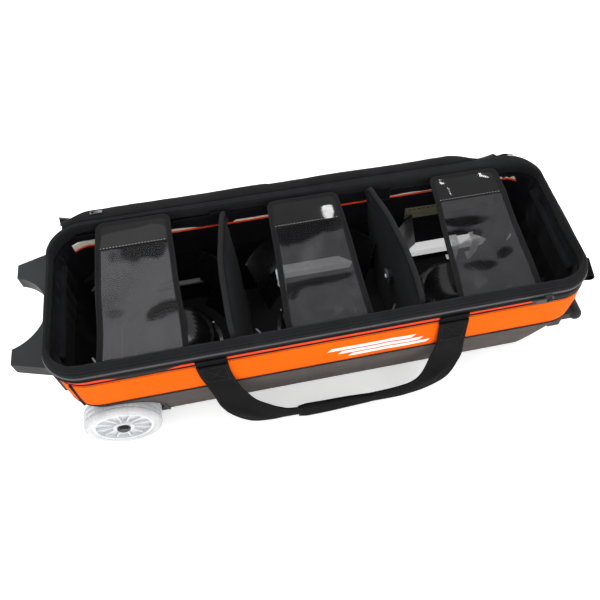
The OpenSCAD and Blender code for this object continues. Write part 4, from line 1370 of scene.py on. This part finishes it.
def metal_piece(name, turn, centre, size, material, body, hole=False):
    """Small plated block with eased edges, and a round hole near one end if asked."""
    half = Vector(size) * MM / 2
    obj = blocks(name, [[turn @ p + centre for p in box_points(-half, half)]], material, body)
    modify(obj, "BEVEL", width=0.5 * MM, segments=2)
    if hole:
        bpy.ops.mesh.primitive_cylinder_add(radius=2.3 * MM, depth=10 * MM, vertices=24)
        drill = bpy.context.object
        place = centre + turn @ Vector((4.5 * MM - half.x, 0, 0))
        drill.matrix_world = Matrix.Translation(place) @ turn.to_4x4()
        bpy.context.view_layer.update()
        cut(obj, drill)
        bpy.data.objects.remove(drill)
        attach(obj, body)


# ---------------------------------------------------------------- wheels
def build_wheel(m, side):
    label = "near" if side < 0 else "far"
    body = f"wheel_{label}"
    lo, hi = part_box(f"tyre_{label}")
    centre = Vector(((lo.x + hi.x) / 2, side * max(abs(lo.y), abs(hi.y)), (lo.z + hi.z) / 2))
    r, w = (hi.z - lo.z) / 2 / MM, (hi.y - lo.y) / MM
    profile = [(50.1, 1.6), (51.4, 0.7), (56, 0.3), (58.6, 0.8), (60.8, 2.0), (62.6, 4.2), (r, 7.4)]
    for g in (w / 2 - 9, w / 2, w / 2 + 9):
        profile += [(r, g - 1.3), (r - 0.4, g - 0.95), (r - 2.1, g - 0.7), (r - 2.1, g + 0.7),
                    (r - 0.4, g + 0.95), (r, g + 1.3)]
    profile += [(r, w - 7.4), (62.6, w - 4.2), (60.8, w - 2), (58.6, w - 0.8), (56, w - 0.3),
                (51.4, w - 0.7), (50.1, w - 1.6)]
    count = 432
    columns = []
    for pr, d in profile:
        shoulder = 1 if 56.5 < pr < r - 0.2 and (d < 6 or d > w - 6) else 0
        column = []
        for i in range(count):
            a = 2 * pi * i / count
            q = (pr - (0.75 * shoulder if i % 6 in (0, 1) else 0)) * MM
            column.append(centre + Vector((q * cos(a), -side * d * MM, q * sin(a))))
        columns.append(column)
    tyre = skin(f"tyre_tread_{label}", columns, m["tyre"], body, closed_v=True)
    close_ends(tyre)
    modify(tyre, "EDGE_SPLIT", split_angle=radians(38))
    stand_for(tyre, f"tyre_{label}", "clear_tyre")
    finish_cad(m["hub"], f"hub_{label}")
    finish_cad(m["steel"], f"bearings_{label}")
    finish_cad(m["cap"], f"hub_cap_{label}", bevel=0.6 * MM)


# ---------------------------------------------------------------- small parts
def build_hardware(m):
    for material, bevel, nodes in (
            ("black", 1.2, "base_tray base_runners"),
            ("black", 0.6, "wheel_housings middle_collars handle_bezels"),
            ("black", 1.5, "foot_bracket"), ("black", 0.8, "handle_grip"), ("button", 0.5, "release_button"),
            ("gloss", 0, "ball_cup_left ball_cup_middle ball_cup_right"), ("guard", 0.8, "side_guards"),
            ("floor", 0, "floor_board"), ("steel", 0, "cup_screws bracket_screws wheel_axles push_rods"),
            ("rail", 0.5, "outer_tubes"), ("tube", 0.5, "middle_tubes inner_tubes"),
            ("bright", 0.4, "tube_clamps"), ("bright", 0.5, "clamp_rivets"),
            ("olive", 0.2, "perforated_strip"), ("zip", 0.4, "zipper_slider zipper_pull"),
            ("webbing", 0.8, "end_tab")):
        finish_cad(m[material], *nodes.split(), bevel=bevel * MM)
    for side in (-1, 1):
        centre = Vector((-HALF_L + CORNER_R, side * (HALF_W - CORNER_R), 0))
        a = radians(180 - side * 60)
        normal = Vector((cos(a), sin(a), 0))
        path = [(centre + normal * (CORNER_R + 2 * MM + wobble((side, 0, z), 40, 0.4 * MM)) + UP * z, normal)
                for z in steps(SEAM_LOW + CORD_R + 0.6 * MM, SEAM_HIGH - CORD_R - 0.6 * MM, 16)]
        obj = cord(f"corner_cord_{'near' if side < 0 else 'far'}", path, 2.2 * MM, m["cord"], "shell",
                   closed=False)
        stand_for(obj, "corner_piping" if side < 0 else None, "black_cord")


def level(table, x):
    """Height between the stations of a small (x, height) table, eased from one to the next."""
    for (x0, h0), (x1, h1) in zip(table, table[1:]):
        if x <= x1:
            return h0 + (h1 - h0) * smooth_step((x - x0) / (x1 - x0))
    return table[-1][1]


def hanging_cloth(name, x0, x1, y, top, low, m, thick=1.3):
    """Thin cloth on the far wall from height top down to low(x), in mm, with soft gathers."""
    columns = []
    count = max(int((x1 - x0) / 3), 8)
    for z_share, off in [(k / 5, 0) for k in range(6)] + [(k / 5, thick) for k in range(5, -1, -1)]:
        ring = []
        for i in range(count + 1):
            x = x0 + (x1 - x0) * i / count
            z = low(x) + (top - low(x)) * z_share
            fold = ripple(x * 0.09, z * 0.02, 3.0) * 0.6
            side = x + (1 - z_share) * (0.5 * ripple(x * 0.1, z * 0.05, 8.0))
            ring.append(Vector((side, y + off + fold, z)) * MM)
        columns.append(ring)
    stand_for(strip_of(name, columns, m["lining"], "shell"), slot="lining_cloth")


def build_details(m):
    """Second zipper pull, cloth over the far board, divider tabs, handle stop, boss, floor cord."""
    metal_piece("second_pull", Matrix.Rotation(radians(2), 3, "Z"), Vector((-350, 157, 255.6)) * MM,
                (21, 6, 1.8), m["pull"], "shell", hole=True)
    hem = ((-396, 12), (-345, 12), (-228, 6), (-200, 3), (-185, 0), (-126, 0), (-121, 4), (-70, 4),
           (-40, 2), (60, 0), (95, 0), (150, 1), (195, 3), (230, 1), (350, 12), (396, 12))
    hanging_cloth("board_valance", -391, 391, 126.2, 236, lambda x: 210.6 + level(hem, x), m)
    hanging_cloth("divider_gather_left", -163, -126, 124.6, 243,
                  lambda x: 214 + 26 * (abs(x + 144.5) / 18.5) ** 1.6, m, 1.6)
    hanging_cloth("divider_tab_right", 125, 160, 124.8, 238, lambda x: 204, m, 1.6)
    for x in (153, 158.5):
        row = [(Vector((x, 124.3, z)) * MM, Vector((0, -1, 0))) for z in steps(206, 236, 12)]
        stitches(f"divider_tab_stitches_{int(x)}", row, m["thread"], "shell")
    lo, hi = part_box("perforated_strip")
    half = Vector((2.25, 1.2, 1.05)) * MM
    centres = [Vector((lo.x + 9 * MM * i, hi.y - 0.9 * MM, lo.z + 24.95 * MM)) for i in range(1, 19)]
    # Painted shade: dark blocks just inside the strip's slots stand for the dark of its holes.
    slot_shade_blocks = blocks("strip_slot_painted_shade", [box_points(c - half, c + half) for c in centres], m["floor"], "shell")
    stand_for(slot_shade_blocks, slot="black_plastic")
    stop = blocks("handle_stop_bar", [box_points(Vector((-300, 108, 70)) * MM, Vector((-188, 117, 76)) * MM)],
                  m["button"], "shell")
    modify(stop, "BEVEL", width=1 * MM, segments=2)
    stand_for(stop, slot="black_plastic")
    plates = (((86, 84.4, 84), (134, 109, 85.4)), ((86, 84.4, 63), (134, 85.8, 85.4)))
    cover = blocks("tube_cover", [box_points(Vector(low) * MM, Vector(high) * MM) for low, high in plates],
                   m["guard"], "shell", smooth=False)
    stand_for(cover, slot="gloss_plastic")
    wall = Vector((142 * MM, 0, 147 * MM))
    for name, rings, material, count, slot in (
            ("divider_boss", ((10.4, -4), (10.4, 13.4), (13.4, 13.8), (14, 14.4), (14, 16.4), (13, 17.4),
                              (4, 17.5)), "boss", 40, "gloss_plastic"),
            ("divider_screw", ((3.8, 16.4), (3.8, 17.8), (2.6, 18.6), (0.8, 18.8)), "bright", 24,
             "bright_steel")):
        part = lathe(name, rings, wall, Vector((-1, 0, 0)), m[material], "shell", count)
        stand_for(part, slot=slot)
    line = [(Vector((-372 * MM + wobble((0, y, 0), 12, 0.8 * MM), y, BOARD_Z + 1 * MM)), UP)
            for y in steps(-104 * MM, 104 * MM, 40)]
    # Floor edge cord in the darker, redder orange: painted shade.
    edge = cord("floor_edge_cord", line, 1.5 * MM, m["orange_painted_shade"], "shell", closed=False)
    stand_for(edge, slot="red_strip")


def build_stripes(m):
    """Three plain slanted bars printed on the near side of the bright band."""
    for k, (x0, x1, low, high) in enumerate(((-20, 118, 184, 192), (8, 142, 172, 180), (36, 166, 160, 168))):
        columns = []
        for off, share in [(0.1, j / 8) for j in range(9)] + [(0.45, j / 8) for j in range(8, -1, -1)]:
            z = (low + (high - low) * share) * MM
            column = []
            for x in steps(x0, x1, 60):
                point = Vector((x * MM + (z - 0.175) * 0.9, -HALF_W, z))
                lift = panel_wave(point, BAND_LOW, BAND_HIGH, BAND_PUFF, BAND_WRINKLE)
                column.append(point - Vector((0, lift + off * MM, 0)))
            columns.append(column)
        strip_of(f"plain_stripe_{k}", columns, m["print"], "shell")


# ---------------------------------------------------------------- assembly
add_camera()
add_studio()
mats = make_materials()
well = build_walls(mats)
build_cords(mats)
build_rim(mats)
build_lining(mats, well)
build_board(mats)
build_divider(mats, "divider_left_pad", "divider_left", -132 * MM, 0,
              [(-0.123, -0.151), (0.04, -0.153), (0.12, -0.142)])
build_divider(mats, "divider_right_pad", "divider_right", 138 * MM, -0.087,
              [(-0.123, 0.146), (-0.043, 0.151), (0.034, 0.143), (0.12, 0.119)])
for strap_label, strap_seed in (("left", 1.3), ("middle", 4.1), ("right", 7.7)):
    build_strap(mats, strap_label, strap_seed)
for handle_side in (-1, 1):
    build_carry(mats, handle_side)
    build_wheel(mats, handle_side)
build_lid(mats)
build_fold(mats)
build_hardware(mats)
build_details(mats)
build_stripes(mats)
